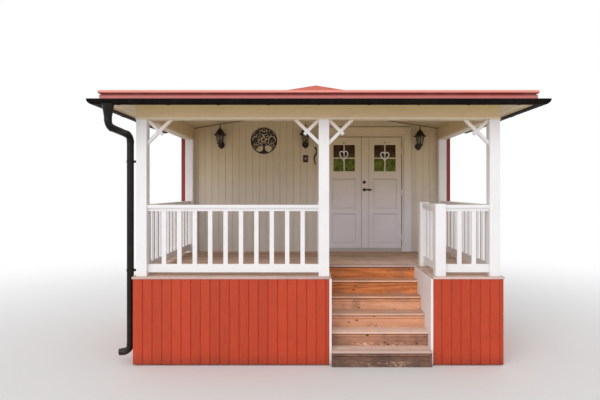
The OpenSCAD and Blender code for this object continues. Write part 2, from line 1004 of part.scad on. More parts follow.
module pipe_clamps() {
    color(BLACK)
        for (z = [deck_h + clamp_rise, pipe_top - clamp_drop])
            translate([pipe_x, pipe_y, z])
                union() {
                    difference() {
                        cylinder(r = pipe_r + strap_t, h = bracket_w, $fn = FINE);
                        translate([0, 0, -1])
                            cylinder(r = pipe_r, h = bracket_w + 2, $fn = FINE);
                    }
                    box([pipe_r + 1, -bracket_w / 2, 0], [pipe_off, bracket_w / 2, bracket_w]);
                }
}

// House wall
opening_x0 = door_x0 - frame_w;
opening_x1 = door_x1 + frame_w;
opening_top = leaf_top + door_gap + frame_w;
footing_top = deck_h - footing_drop;

function wall_top(x) = peak_z + flashing_h - abs(x) * side_slope;

module wall_footing() {
    color(CONCRETE)
        box([-wall_half, wall_y, 0], [wall_half, back_y, footing_top]);
}

module wall_left() {
    color(WHITE)
        run_y(wall_y, back_y)
            polygon([[-wall_half, footing_top], [opening_x0, footing_top], [opening_x0, wall_top(opening_x0)],
                [0, wall_top(0)], [-wall_half, wall_top(wall_half)]]);
}

module wall_right() {
    color(WHITE)
        run_y(wall_y, back_y)
            polygon([[opening_x1, footing_top], [wall_half, footing_top], [wall_half, wall_top(wall_half)],
                [opening_x1, wall_top(opening_x1)]]);
}

module wall_over_door() {
    color(WHITE)
        run_y(wall_y, back_y)
            polygon([[opening_x0, opening_top], [opening_x1, opening_top], [opening_x1, wall_top(opening_x1)],
                [opening_x0, wall_top(opening_x0)]]);
}

// Double door
// Knuckles of the lift-off hinges: the upper halves are on the leaves, the lower halves on the frame
hinge_low = 200;                                  // lowest and highest hinge from the ends of a leaf
hinge_high = 260;
hinge_zs = [leaf_z + hinge_low, leaf_z + leaf_h / 2, leaf_top - hinge_high];
hinge_len = 50;
hinge_w = 34;
hinge_x0 = door_x0 + door_gap / 2;
hinge_x1 = door_x1 - door_gap / 2;

// One half of each hinge: a knuckle on the axis, and a plate that runs to one side on a face
module knuckles(x, side, face_y, z_off) {
    for (z = hinge_zs) {
        translate([x, hinge_y, z + z_off])
            cylinder(r = hinge_r, h = hinge_len, $fn = FINE);
        box([min(x, x + side * hinge_w), face_y - hinge_plate, z + z_off],
            [max(x, x + side * hinge_w), face_y, z + z_off + hinge_len]);
    }
}

module door_frame() {
    stop_y = leaf_y + leaf_t + door_gap;
    head_z = leaf_top + door_gap;
    color(WHITE) {
        difference() {
            box([opening_x0, wall_y, footing_top], [door_x0 + stop_w, wall_y + frame_d, head_z - stop_w]);
            box([door_x0, wall_y - 1, footing_top - 1], [door_x0 + stop_w + 1, stop_y, head_z]);
        }
        knuckles(hinge_x0, -1, wall_y, -hinge_len);
        difference() {
            box([door_x1 - stop_w, wall_y, footing_top], [opening_x1, wall_y + frame_d, head_z - stop_w]);
            box([door_x1 - stop_w - 1, wall_y - 1, footing_top - 1], [door_x1, stop_y, head_z]);
        }
        knuckles(hinge_x1, 1, wall_y, -hinge_len);
        difference() {
            box([opening_x0, wall_y, head_z - stop_w + joint], [opening_x1, wall_y + frame_d, opening_top]);
            box([door_x0, wall_y - 1, head_z - stop_w], [door_x1, stop_y, head_z]);
        }
    }
}

module door_casing() {
    x0 = door_x0 - frame_bare - casing_w;
    x1 = door_x1 + frame_bare + casing_w;
    top = leaf_top + door_gap + frame_bare;
    color(WHITE) {
        box([x0, wall_y - casing_t, deck_h], [x0 + casing_w, wall_y, top - joint]);
        box([x1 - casing_w, wall_y - casing_t, deck_h], [x1, wall_y, top - joint]);
        box([x0, wall_y - casing_t, top], [x1, wall_y, top + casing_w]);
    }
}

module threshold() {
    top = deck_h + threshold_h;
    color(GREY_WOOD)
        union() {
            box([door_x0 + stop_w, wall_y, footing_top], [door_x1 - stop_w, wall_y + frame_d, top]);
            box([door_x0, wall_y, footing_top], [door_x1, leaf_y + leaf_t + door_gap, top]);
        }
}

// Edges of the leaves, and the middle of each leaf's window and panels
leaf_gap = door_gap + joint;                      // between the two leaves
left_x0 = door_x0 + door_gap;
left_x1 = meet_x - leaf_gap / 2;
right_x0 = meet_x + leaf_gap / 2;
right_x1 = door_x1 - door_gap;
panel_mid_left = (left_x0 + left_x1) / 2;
panel_mid_right = (right_x0 + cover_w + right_x1) / 2;
pane_z = leaf_top - top_rail - pane_h;
panel_more = 40;                                  // how much wider the panels are than the window
panel_w = pane_w + panel_more;
low_panel = [leaf_z + bottom_rail, leaf_z + bottom_rail + low_panel_h];
high_panel = [low_panel[1] + mid_rail, pane_z - under_pane];
panel_edge = 42;                                  // width of the sunk edge round a panel

// A field sunk in both faces of a leaf, with its raised middle
module sunk_panel(mid, span) {
    half = panel_w / 2;
    inner = half - panel_edge;
    for (y = [leaf_y - 1, leaf_y + leaf_t - panel_depth])
        difference() {
            box([mid - half, y, span[0]], [mid + half, y + panel_depth + 1, span[1]]);
            box([mid - inner, y - 1, span[0] + panel_edge],
                [mid + inner, y + panel_depth + 2, span[1] - panel_edge]);
        }
}

// A leaf from its hinge edge to its free edge, which is bevelled so that it swings clear
module leaf(hinge_edge, free_edge, mid) {
    bevel = door_gap * sign(hinge_edge - free_edge);
    difference() {
        translate([0, 0, leaf_z])
            linear_extrude(leaf_h)
                polygon([[hinge_edge, leaf_y], [free_edge, leaf_y], [free_edge + bevel, leaf_y + leaf_t],
                    [hinge_edge, leaf_y + leaf_t]]);
        box([mid - pane_w / 2, leaf_y - 1, pane_z], [mid + pane_w / 2, leaf_y + leaf_t + 1, pane_z + pane_h]);
        sunk_panel(mid, low_panel);
        sunk_panel(mid, high_panel);
    }
}

module door_leaf_left() {
    color(WHITE)
        union() {
            leaf(left_x0, left_x1, panel_mid_left);
            knuckles(hinge_x0, 1, leaf_y, 1);
        }
}

module door_leaf_right() {
    color(WHITE)
        union() {
            leaf(right_x1, right_x0, panel_mid_right);
            knuckles(hinge_x1, -1, leaf_y, 1);
            box([right_x0, leaf_y - cover_t, leaf_z], [right_x0 + cover_w, leaf_y, leaf_top]);
        }
}

module door_glass(mid) {
    y = leaf_y + leaf_t / 2;
    w = pane_w / 2;
    t = glass_t / 2;
    color(GLASS)
        box([mid - w, y - t, pane_z], [mid + w, y + t, pane_z + pane_h]);
}

module door_glass_left() {
    door_glass(panel_mid_left);
}

module door_glass_right() {
    door_glass(panel_mid_right);
}

// Lever handle and keyhole plate on the cover strip
handle_in = 47;                                   // from the edge of the leaf in to the lever
handle_x = right_x0 + handle_in;
handle_z = leaf_z + handle_h;
lever_r = 11;
lever_out = 52;                                   // how far the lever stands out from the cover strip
lever_len = 125;
rose_r = 30;
rose_t = 8;
keyhole_up = 138;                                 // keyhole plate above the lever

module door_handle() {
    color(BLACK)
        translate([handle_x, leaf_y - cover_t, handle_z])
            rotate([90, 0, 0]) {
                union() {
                    cylinder(r = rose_r, h = rose_t, $fn = FINE);
                    cylinder(r = lever_r, h = lever_out, $fn = FINE);
                    translate([0, 0, lever_out - lever_r])
                        rotate([0, 90, 0])
                            cylinder(r = lever_r, h = lever_len, $fn = FINE);
                }
                translate([0, keyhole_up, 0])
                    cylinder(r = rose_r, h = rose_t, $fn = FINE);
            }
}

// Wall lanterns: a bell shaped roof, a tapered cage and a dish, on an arm from a wall plate.
// Heights are measured from the middle of the cage.
lantern_places = [[-1730, 27], [-190, 36], [1880, 0]]; // along the wall, and up from the outer one
lantern_out = 165;                                // lantern middle out from the wall
lantern_tip = 262;
lantern_foot = -124;
lantern_z = ceiling_z(lantern_places[2][0]) - lantern_clear - lantern_tip;
brim_z = 60;                                      // underside of the roof brim
bowl_z = -92;                                     // rim of the dish
rib_r = 5;
ribs = 6;
rib_low_x = 48;                                   // rib feet from the middle
rib_in = 32;                                      // rib heads in from the brim
rib_top_x = lantern_w / 2 - rib_in;
arm_z = bowl_z - 13;
arm_r = 9;
arm_in = 12;                                      // how far the arm runs into the dish
plate_r = 61;
plate_mid = -111;
plate_tip = 78;                                   // from its middle down to its point
plate_t = 10;

module lantern() {
    r = lantern_w / 2;
    rib_rise = brim_z + 6 - bowl_z;
    union() {
        rotate_extrude($fn = FINE)
            polygon([[0, brim_z], [r - 22, brim_z], [r, brim_z - 8], [r, brim_z + 4], [r - 28, 84],
                [r - 42, 112], [r - 62, 144], [26, 164], [13, 184], [8, 212], [11, 224], [0, lantern_tip]]);
        rotate_extrude($fn = FINE)
            polygon([[0, lantern_foot], [20, lantern_foot], [40, lantern_foot + 8],
                [rib_low_x + 6, bowl_z - 12], [rib_low_x + 6, bowl_z], [0, bowl_z]]);
        for (a = [0:360 / ribs:359])
            rotate(a + 30)
                translate([rib_low_x, 0, bowl_z - 3])
                    rotate([0, atan((rib_top_x - rib_low_x) / rib_rise), 0])
                        cylinder(r = rib_r, h = rib_rise, $fn = FINE);
        translate([0, rib_low_x - arm_in, arm_z])
            rotate([-90, 0, 0])
                cylinder(r = arm_r, h = lantern_out - rib_low_x + arm_in - plate_t / 2, $fn = FINE);
        translate([0, lantern_out, plate_mid])
            rotate([90, 0, 0])
                wall_plate();
    }
}

// A round plate drawn out to a point below, with a raised boss for the arm
module wall_plate() {
    turn = acos(plate_r / plate_tip);
    side = (plate_r - 1) * sin(turn);
    linear_extrude(plate_t)
        union() {
            circle(r = plate_r, $fn = FINE);
            polygon([[-side, 1 - plate_r * cos(turn)], [0, -plate_tip], [side, 1 - plate_r * cos(turn)]]);
        }
    cylinder(r = plate_r / 2, h = 2 * plate_t, $fn = FINE);
}

module wall_lanterns() {
    color(BLACK)
        for (at = lantern_places)
            translate([at[0], wall_y - lantern_out, lantern_z + at[1]])
                lantern();
}

// Openwork disc on the wall: a ring round a tree with roots, branches and leaves
disc_t = 8;
disc_r = disc_d / 2;
disc_z = ceiling_z(abs(disc_x) + disc_r) - disc_r - disc_clear;
ring_w = 17;
leaf_size = [12, 19];                             // half width and half length of a leaf
trunk_w = 34;
fork_z = -0.36 * disc_r;                          // where the branches leave the trunk
branch_w = 21;
branches = [[-80, 0.3], [-40, 0.38], [0, 0.43], [40, 0.38], [80, 0.3]]; // turn, and share of the radius

module disc_leaf(turn) {
    rotate(turn)
        translate([0, leaf_size[1]])
            scale([leaf_size[0], leaf_size[1]])
                circle(r = 1, $fn = 8);
}

// A branch from the origin along +Y that forks until its level is used up
module branch(length, width, level) {
    foot = width / 2;
    head = width * 0.36;
    polygon([[-foot, -width / 3], [foot, -width / 3], [head, length], [-head, length]]);
    translate([0, length]) {
        if (level > 0)
            for (turn = [-30, 28])
                rotate(turn)
                    branch(length * 0.76, width * 0.72, level - 1);
        for (turn = level > 0 ? [97] : [-40, 38])
            disc_leaf(turn);
    }
}

// The trunk, with two roots spread along the ring
module trunk() {
    half = trunk_w / 2;
    flare = half + 12;
    out = 0.44 * disc_r;
    foot = -disc_r;
    top = fork_z + 8;
    polygon([[-out, 0.9 * foot], [-flare, 0.76 * foot], [-half, 0.6 * foot], [-half, top], [half, top],
        [half, 0.6 * foot], [flare, 0.76 * foot], [out, 0.9 * foot], [0.3 * disc_r, foot],
        [-0.3 * disc_r, foot]]);
}

module wall_disc() {
    color(BLACK)
        translate([disc_x, wall_y, disc_z])
            rotate([90, 0, 0])
                linear_extrude(disc_t)
                    union() {
                        difference() {
                            circle(r = disc_r, $fn = 2 * FINE);
                            circle(r = disc_r - ring_w, $fn = 2 * FINE);
                        }
                        intersection() {
                            circle(r = disc_r - ring_w / 2, $fn = 2 * FINE);
                            union() {
                                trunk();
                                for (at = branches)
                                    translate([0, fork_z])
                                        rotate(at[0])
                                            branch(disc_r * at[1], branch_w, 3);
                            }
                        }
                    }
}

foundation_piers();
floor_beams();
floor_joists();
deck_floor();
skirts();
stair_cheeks();
stair_stringers();
stair_treads();
stair_risers();
roof_posts();
newel_posts();
roof_beams();
corner_braces();
railings_front();
railings_side();
railings_stair();
ceiling();
rafters();
roof_boards();
roof_sheets();
fascia_boards();
eave_flashing();
wall_flashing();
gutter_front();
gutter_left();
gutter_right();
gutter_brackets();
downpipe();
pipe_clamps();
wall_footing();
wall_left();
wall_right();
wall_over_door();
door_frame();
door_casing();
threshold();
door_leaf_left();
door_glass_left();
door_leaf_right();
door_glass_right();
door_handle();
wall_lanterns();
wall_disc();
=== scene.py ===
import math

import bmesh
import bpy
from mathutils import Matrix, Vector


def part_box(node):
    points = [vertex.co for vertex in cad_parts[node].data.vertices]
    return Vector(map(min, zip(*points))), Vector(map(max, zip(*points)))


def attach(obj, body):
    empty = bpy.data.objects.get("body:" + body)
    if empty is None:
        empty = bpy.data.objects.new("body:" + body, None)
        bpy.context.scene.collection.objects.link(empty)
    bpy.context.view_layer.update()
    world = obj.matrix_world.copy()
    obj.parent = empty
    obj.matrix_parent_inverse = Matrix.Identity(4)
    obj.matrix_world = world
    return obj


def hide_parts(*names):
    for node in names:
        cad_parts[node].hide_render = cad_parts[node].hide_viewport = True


bl_info = {
    "name": "Entrance porch finish",
    "version": (1, 0, 0),
    "blender": (4, 5, 0),
    "location": "View3D > Sidebar > Porch",
    "description": "Dresses an entrance porch with boards, paint, sheet metal, glass and ironwork",
    "category": "Object",
}

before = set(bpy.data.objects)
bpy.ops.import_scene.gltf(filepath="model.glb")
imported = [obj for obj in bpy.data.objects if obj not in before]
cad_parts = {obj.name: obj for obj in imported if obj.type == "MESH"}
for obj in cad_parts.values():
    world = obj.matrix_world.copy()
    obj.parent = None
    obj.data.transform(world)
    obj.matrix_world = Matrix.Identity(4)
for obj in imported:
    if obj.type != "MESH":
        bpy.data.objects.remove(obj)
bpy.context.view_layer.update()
PORCH = "porch"
DOORS = {"left": "left_door", "right": "right_door"}

# Tolerances of the mesh work: a distance in metres, the decimals that solids are sorted by, and two angles
MERGE = 0.00002
DECIMALS = 4
FLAT = math.radians(1.0)
SHARP = math.radians(30.0)

# Places read from the photo, in metres: sign and hook on the wall, hearts before the panes.
# Each heart is its middle x, its top, its foot and its width.
SIGN_PLACE = (-0.187, 2.854)
SIGN_SIZE = (0.092, 0.132)
HOOK_BENDS = ((-0.012, 3.071), (0.023, 2.997), (-0.004, 2.93), (-0.031, 2.869), (-0.018, 2.8), (-0.007, 2.747))
HEARTS = {"left": (0.5135, 3.003, 2.806, 0.168), "right": (1.267, 2.982, 2.806, 0.172)}
HEART_HOOK_Z = 3.135

# Sizes of the construction that the boxes of the nodes don't give, in metres
PANEL_SPANS = ((0.106, 0.633), (0.727, 1.27))
PANEL_HALF = 0.223
PANEL_DEPTH = 0.009
SEAL_IN = 0.003
SEAL_DEEP = 0.005
DOOR_GAP = 0.005
COVER_STRIP = 0.128
CEILING_BOARD = 0.018
RISER_TOP_BOARD = 0.048
LEVER_ROSE = 0.03
LANTERN_R = 0.11
LANTERN_TIP = 0.262
PANE_FOOT = (0.044, -0.09)
PANE_HEAD = (0.07, 0.058)
PANE_THICK = 0.002
PANE_SIDES = 6

# The sign's plate and field: piece, share of the sign's size, thickness and material; then its rounded edge
SIGN_LAYERS = (("sign_plate", 1.0, 0.01, "brown"), ("sign_field", 0.4, 0.012, "mauve"))
SIGN_EDGE = 0.003

# The rods of the wavy hook and the hearts: their depth and their distance from the wall or the door as shares of
# their thickness, the points of their curves, and what is left of the hook's thickness at its foot
HOOK_FLAT = 0.6
HOOK_OUT = 0.4
HOOK_STEPS = 6
HOOK_END = 0.45
HEART_FLAT = 0.8
HEART_OUT = 0.45
HEART_POINTS = 48

# Thin trim, in metres: painted shadow strips, bars and beads of the panes, hearts and their hooks, seals, and the
# painted shadow strip beside the cover strip. A skin keeps two faces from lying in one plane.
SHADOW_STRIP_DEEP = 0.004
SHADOW_STRIP_FOOT = 0.1
BAR_BACK = 0.004
BAR_STEP = 0.0005
BEAD_PROUD = 0.002
SKIN = 0.0002
MOULDING = ((-0.008, SKIN), (-0.003, -0.006), (0.003, -0.006))
RIBBON_R = 0.004
HEART_HOOK_R = 0.012
HEART_WIRE_R = 0.0035
SEAL_CLEAR = 0.002
STRIP_SHADOW_WIDE = 0.005
STRIP_SHADOW_DEEP = 0.003
STRIP_SHADOW_CLEAR = 0.01
LEVER_OUT = 0.011

# The riser that is cut last, counted from 0 at the front: the risers' tones change at its joint
TONE_RISER = 2

# A skirt that is narrower than this runs along a side, and so does a narrower ceiling slope. A timber under the
# deck that is shorter than this from front to back runs across.
SKIRT_THICK = 0.1
SLOPE_WIDE = 4.0
TIMBER_SHORT = 0.5

# Cutters of the joints, which are longer than the boards and reach past them: long ones for deck and ceiling,
# then the reach past an end or a side, and the depths of those of the stairs. A riser's groove is half as deep.
CUT_LONG = 6.0
SIDE_CUT_LONG = 4.0
STAIR_CUT_LONG = 2.0
CUT_PAST = 0.1
WALL_CUT_PAST = 0.2
TREAD_CUT = 0.06
RISER_CUT = 0.03

# Profiles of the turned bulb, as (radius, height), and of the lever's grip, as (way along it, radius)
BULB_PROFILE = ((0, -0.05), (0.014, -0.045), (0.026, -0.03), (0.031, -0.01), (0.027, 0.012), (0.016, 0.03),
                (0.0135, 0.06), (0, 0.06))
GRIP_PROFILE = ((0.0, 0.009), (0.008, 0.014), (0.03, 0.0165), (0.06, 0.0145), (0.09, 0.0125))
GRIP_FLAT = 0.62
ROUND_SIDES = 16

# Nail heads: their shape as shares of the radius, their lift off the board, their way in from an edge and
# their places across a board, or across the two boards of a tread, as shares of its width
NAIL_SHAPE = {"Vertices": 8, "Side Segments": 1, "Fill Segments": 1, "Radius Top": 0.6, "Radius Bottom": 1.0,
              "Depth": 0.35}
NAIL_LIFT = 0.0006
NAIL_EDGE = 0.12
TREAD_NAIL_EDGE = 0.022
TREAD_NAIL_SHARES = (0.15, 0.35, 0.65, 0.85)
DECK_NAIL_SHARES = (0.25, 0.75)

# How far the grain and the knots are squeezed across a board, for a board along each axis
GRAIN_ALONG = {"X": (1.0, 14.0, 14.0), "Y": (14.0, 1.0, 14.0), "Z": (14.0, 14.0, 1.0)}
KNOTS_ALONG = {"X": (8.0, 9.0, 15.0), "Y": (15.0, 8.0, 9.0), "Z": (15.0, 9.0, 8.0)}
TONE_SHIFT = (37.0, 91.0, 53.0)
BAND_BLUR = 0.002

# Tints of grain, wear, painted shadow and small trim, as 0 to 255 screen values
DECK_GRAIN = (150, 118, 96)
TREAD_GRAIN = (170, 120, 92)
TIMBER_GRAIN = (140, 100, 62)
KNOT = (92, 46, 26)
# Painted shadow under the nosings of the treads
NOSING_SHADOW = (70, 38, 24)
SPLASH_MUD = (96, 84, 76)
SCUFF = (236, 196, 160)
# Brown of the seals, whose dark also stands in for shade in the gaps; also the painted shadow strips
SEAL_AND_SHADOW_BROWN = (112, 92, 66)
STEEL = (110, 104, 98)
MAUVE = (150, 116, 124)
OLD_GLASS = (190, 184, 160)
FLOOR_GREY = (226, 226, 226)

# The house wall is red outside the porch and over its roof, down to this depth from its face
WALL_RED_FROM = 2.372
WALL_PAINT_DEPTH = 0.05
ROOF_SLOPE = 0.16012

# Stage: photo frame in pixels, camera place in metres, light levels, and the floor's size and fade in metres
IMAGE_WIDTH_PX = 600
IMAGE_HEIGHT_PX = 400
VANISHING_PX = (310, 191)
CAMERA_FOCAL_PX = 521
CAMERA_PLACE = (-0.106, -8.0445, 2.262)
CAMERA_REACH = 200
SKY = 0.8
SUN = 1.2
SUN_TURN = (60, -12, -18)
SUN_SOFT = 50
FLOOR_HALF = 60
FLOOR_FADE = (4.0, 12.0)


def colour(red, green, blue):
    """A colour given as 0 to 255 screen values, in the linear values that materials take."""
    linear = []
    for value in (red, green, blue):
        c = value / 255
        linear.append(c / 12.92 if c <= 0.04045 else ((c + 0.055) / 1.055) ** 2.4)
    return (*linear, 1.0)


def paint(name, description, rgb):
    """A colour that a user can change."""
    return bpy.props.FloatVectorProperty(
        name=name, description=description, subtype="COLOR", size=4, min=0, max=1, default=colour(*rgb)
    )


def length(name, description, metres, low=0.0):
    """A length that a user can change."""
    return bpy.props.FloatProperty(
        name=name, description=description, default=metres, min=low, max=10.0, unit="LENGTH", precision=4
    )


class PorchSizes(bpy.types.PropertyGroup):
    """Sizes of the boards, joints and trim"""

    edge_round: length("Edge rounding", "Worn edge of painted timber", 0.003)
    skirt_board: length("Skirt board", "Width of a red skirt board", 0.125, 0.05)
    skirt_joint: length("Skirt joint", "Width of the joint between two skirt boards", 0.008)
    wall_board: length("Wall board", "Width of a board on the house wall", 0.125, 0.05)
    ceiling_board: length("Ceiling board", "Width of a board under the roof", 0.115, 0.05)
    deck_board: length("Deck board", "Width of a floor board", 0.12, 0.05)
    joint: length("Joint", "Width of the joint between two boards", 0.004)
    joint_depth: length("Joint depth", "Depth of the joint between two upright boards", 0.009)
    deck_gap: length("Deck gap", "Open gap between two floor boards", 0.005)
    glazing_bar: length("Glazing bar", "Width of a bar in a door window", 0.022)
    bead: length("Bead", "Width of the bead round a pane", 0.006)
    panel_bead: length("Panel bead", "Width of the moulding round a door panel", 0.018)
    seal: length("Seal", "Thickness of the seals in the gaps of the doors", 0.0028)
    heart_rod: length("Heart rod", "Thickness of a heart's ring", 0.02)
    hook_iron: length("Hook iron", "Thickness of the wavy iron hook", 0.034)
    nail: length("Nail", "Radius of a nail head", 0.0045)
    riser_joint: length("Riser joint", "Width of the joint between the two boards of a riser", 0.01)
    # Width of the painted shadow strips round the casing and under the ceiling
    shadow_strip_width: length("Gap strip", "Width of the dark gaps round the casing and under the ceiling", 0.012)


class PorchColours(bpy.types.PropertyGroup):
    """Colours of the paints, woods and metals"""

    white: paint("White paint", "Posts and rails", (240, 237, 238))
    # Cream is the ceiling's paint, warmed as painted warm light under the roof; high up on wall boards and doors
    # it is painted warm shade
    cream: paint("Cream paint", "Ceiling, and wall boards and doors high up", (217, 196, 156))
    # Pale is a painted highlight on the beams' lower edge; brace, tan and olive are painted warm shade near the
    # roof
    pale: paint("Pale paint", "Lower edge of the beams", (242, 224, 192))
    brace: paint("Brace paint", "Upper ends of the braces", (238, 222, 204))
    tan: paint("Tan paint", "Lower part of the beams", (230, 202, 160))
    olive: paint("Olive paint", "Upper part of the beams", (226, 204, 152))
    door: paint("Door paint", "Doors low down", (224, 218, 226))
    wall: paint("Wall paint", "Wall boards low down", (214, 205, 197))
    red: paint("Red paint", "Skirt boards", (200, 71, 40))
    # The house's red paint, darkened as painted shade
    red_in_painted_shade: paint("Dark red paint", "House wall outside the porch", (150, 36, 26))
    sheet: paint("Roof sheet", "Painted roof sheets", (205, 106, 90))
    # Lip is a painted highlight on the sheets' folded edge, and its foot a painted shadow
    lip: paint("Sheet lip", "Upper part of the folded edge of the roof sheets", (238, 152, 136))
    lip_painted_shadow: paint("Sheet lip foot", "Lower part of the folded edge, in the dirt", (176, 62, 50))
    # The apron's top is a painted shadow under the sheets' edge, its foot a painted highlight
    apron_painted_shadow: paint("Apron top", "Upper part of the eave flashing", (138, 40, 32))
    apron_painted_highlight: paint("Apron foot", "Rolled lower edge of the eave flashing", (240, 186, 184))
    flashing: paint("Flashing", "Folded sheet under the roof edge", (206, 112, 106))
    deck: paint("Deck board", "Weathered floor", (205, 172, 146))
    tread: paint("Tread", "Upper treads of the stairs", (228, 168, 130))
    # Low treads are paler as painted light, which reaches them more
    tread_painted_light: paint("Low tread", "Lower treads of the stairs, walked pale", (252, 230, 218))
    # The front of the deck is paler as painted light, fading back into the shade under the roof
    painted_light_front: paint("Sunned deck", "Deck near its front edge", (238, 206, 190))
    # Paler colour for the faces of floor and lower treads that look to the front
    pale_front_face: paint("Bleached edge", "Front edges of floor and lower treads", (222, 194, 186))
    pine: paint("Riser board", "Fresh upper risers", (238, 150, 90))
    pine_dark: paint("Riser grain", "Grain of the risers", (152, 76, 42))
    faded: paint("Faded riser", "Middle risers and edges of upper treads", (250, 196, 164))
    dull: paint("Dull pine", "Risers half way down", (192, 138, 110))
    tired: paint("Tired pine", "Second lowest riser", (134, 98, 84))
    worn: paint("Worn riser", "Splashed lowest riser", (84, 66, 62))
    timber: paint("Bare timber", "Joists, beams and rafters", (186, 150, 108))
    black: paint("Black metal", "Gutters and downpipe", (20, 15, 11))
    iron: paint("Black iron", "Disc, hook and handle", (30, 26, 22))
    brown: paint("Brown metal", "Lanterns", (44, 30, 22))
    sill: paint("Sill paint", "Threshold under the doors", (186, 176, 174))
    concrete: paint("Concrete", "Piers and footing", (158, 154, 148))
    # The panes' green and brown are a painted reflection of the garden and the ceiling
    glass: paint("Window glass", "Greenish panes of the doors", (104, 112, 40))
    reflected_ceiling: paint("Window gloom", "Brown tops of the panes", (74, 50, 30))


# Node trees


def enabled(sockets, name):
    """The socket of this name that its node's settings leave in use."""
    return next(socket for socket in sockets if socket.enabled and socket.name == name)


class Nodes:
    """Adds nodes to a tree. The values that it takes are numbers, colours or other nodes' outputs."""

    def __init__(self, tree):
        self.tree = tree

    def fill(self, node, inputs):
        """Links or sets a node's inputs, which are named or numbered."""
        for key, value in inputs.items():
            socket = enabled(node.inputs, key) if isinstance(key, str) else node.inputs[key]
            if isinstance(value, bpy.types.NodeSocket):
                self.tree.links.new(value, socket)
            else:
                socket.default_value = value
        return node

    def node(self, kind, inputs=None, **settings):
        """Adds a node, sets it up and fills its inputs."""
        node = self.tree.nodes.new(kind)
        for key, value in settings.items():
            setattr(node, key, value)
        return self.fill(node, inputs or {})

    def put(self, kind, inputs=None, **settings):
        """Adds a node and returns its first output in use."""
        return next(socket for socket in self.node(kind, inputs, **settings).outputs if socket.enabled)

    def maths(self, operation, *values, clamp=False):
        """The result of a Math node."""
        return self.put("ShaderNodeMath", dict(enumerate(values)), operation=operation, use_clamp=clamp)

    def times(self, product, *factors):
        """The product of some values."""
        for factor in factors:
            product = self.maths("MULTIPLY", product, factor)
        return product

    def vectors(self, operation, *values):
        """The result of a Vector Math node."""
        return self.put("ShaderNodeVectorMath", dict(enumerate(values)), operation=operation)

    def part(self, vector, axis):
        """X, Y or Z of a vector, as its number from 0 to 2."""
        return self.node("ShaderNodeSeparateXYZ", {0: vector}).outputs[axis]

    def ramp(self, value, low, high, start=0.0, end=1.0, kind="SMOOTHSTEP"):
        """Takes value from low..high to start..end, held at both ends."""
        inputs = {"Value": value, "From Min": low, "From Max": high, "To Min": start, "To Max": end}
        return self.put("ShaderNodeMapRange", inputs, interpolation_type=kind)

    def noise(self, place, scale, detail, rough=0.5, bend=0.0):
        """Clouds of values from 0 to 1."""
        inputs = {"Vector": place, "Scale": scale, "Detail": detail, "Roughness": rough, "Distortion": bend}
        return self.put("ShaderNodeTexNoise", inputs)

    def mix(self, mask, first, second, blend="MIX"):
        """Takes the first colour to the second one where the mask is 1."""
        inputs = {0: mask, 6: first, 7: second}
        return self.node("ShaderNodeMix", inputs, data_type="RGBA", blend_type=blend).outputs[2]

    def shaded(self, tint, *masks):
        """Darkens a colour by the product of some values."""
        shade = self.times(*masks)
        grey = self.put("ShaderNodeCombineColor", {0: shade, 1: shade, 2: shade})
        return self.mix(1.0, tint, grey, "MULTIPLY")

    def solid_in(self, shape, material):
        """Makes instances real and gives the shape its material, as the end of a Geometry Nodes tree."""
        real = self.put("GeometryNodeRealizeInstances", {0: shape})
        return self.put("GeometryNodeSetMaterial", {"Geometry": real, "Material": material})


SOCKET_TYPES = {float: "Float", int: "Int", tuple: "Vector"}


def new_group(kind, name, inputs, outputs):
    """A node group. Each input has its default, or the name of its type, and each output the name of its type.
    Returns its nodes, the values given to it and a function that ends it."""
    tree = bpy.data.node_groups.new(name, kind)
    for label, default in inputs.items():
        named = isinstance(default, str)
        socket = "NodeSocket" + (default if named else SOCKET_TYPES[type(default)])
        made = tree.interface.new_socket(name=label, in_out="INPUT", socket_type=socket)
        if not named:
            made.default_value = default
    for label, socket in outputs.items():
        tree.interface.new_socket(name=label, in_out="OUTPUT", socket_type="NodeSocket" + socket)
    nodes = Nodes(tree)
    given = nodes.node("NodeGroupInput").outputs
    result = nodes.node("NodeGroupOutput")

    def end(**values):
        nodes.fill(result, values)
        return tree

    return nodes, given, end


def wood_grain_group():
    """Grain that runs along one axis: fibres, growth rings and knots."""
    nodes, given, end = new_group(
        "ShaderNodeTree",
        "Wood grain",
        {"Vector": "Vector", "Stretch": (1.0, 1.0, 1.0), "Knot Stretch": (1.0, 1.0, 1.0), "Tone": 0.0,
         "Ring Count": 7.0, "Knot Size": 0.08},
        {"Fibres": "Float", "Rings": "Float", "Knots": "Float"},
    )
    steps = {axis: nodes.times(given["Tone"], step) for axis, step in enumerate(TONE_SHIFT)}
    shift = nodes.put("ShaderNodeCombineXYZ", steps)
    place, spots = (nodes.vectors("ADD", nodes.vectors("MULTIPLY", given["Vector"], given[stretch]), shift)
                    for stretch in ("Stretch", "Knot Stretch"))
    fibres = nodes.noise(place, 6.0, 5.0, 0.65)
    cells = nodes.node("ShaderNodeTexVoronoi", {"Vector": spots, "Scale": 1.0}).outputs
    near = nodes.ramp(cells["Distance"], 0.0, 0.4, 1.0, 0.0)
    bent = nodes.maths("ADD", nodes.noise(place, 0.35, 1.5, bend=0.4), nodes.times(near, 0.2))
    turns = nodes.times(bent, nodes.times(given["Ring Count"], 6.283))
    rings = nodes.maths("MULTIPLY_ADD", nodes.maths("SINE", turns), 0.5, 0.5)
    rim = nodes.times(given["Knot Size"], 1.5)
    spot = nodes.ramp(cells["Distance"], given["Knot Size"], rim, 1.0, 0.0, "LINEAR")
    lot = nodes.put("ShaderNodeSeparateColor", {0: cells["Color"]})
    knots = nodes.times(spot, nodes.maths("GREATER_THAN", lot, 0.55))
    return end(Fibres=fibres, Rings=rings, Knots=knots)


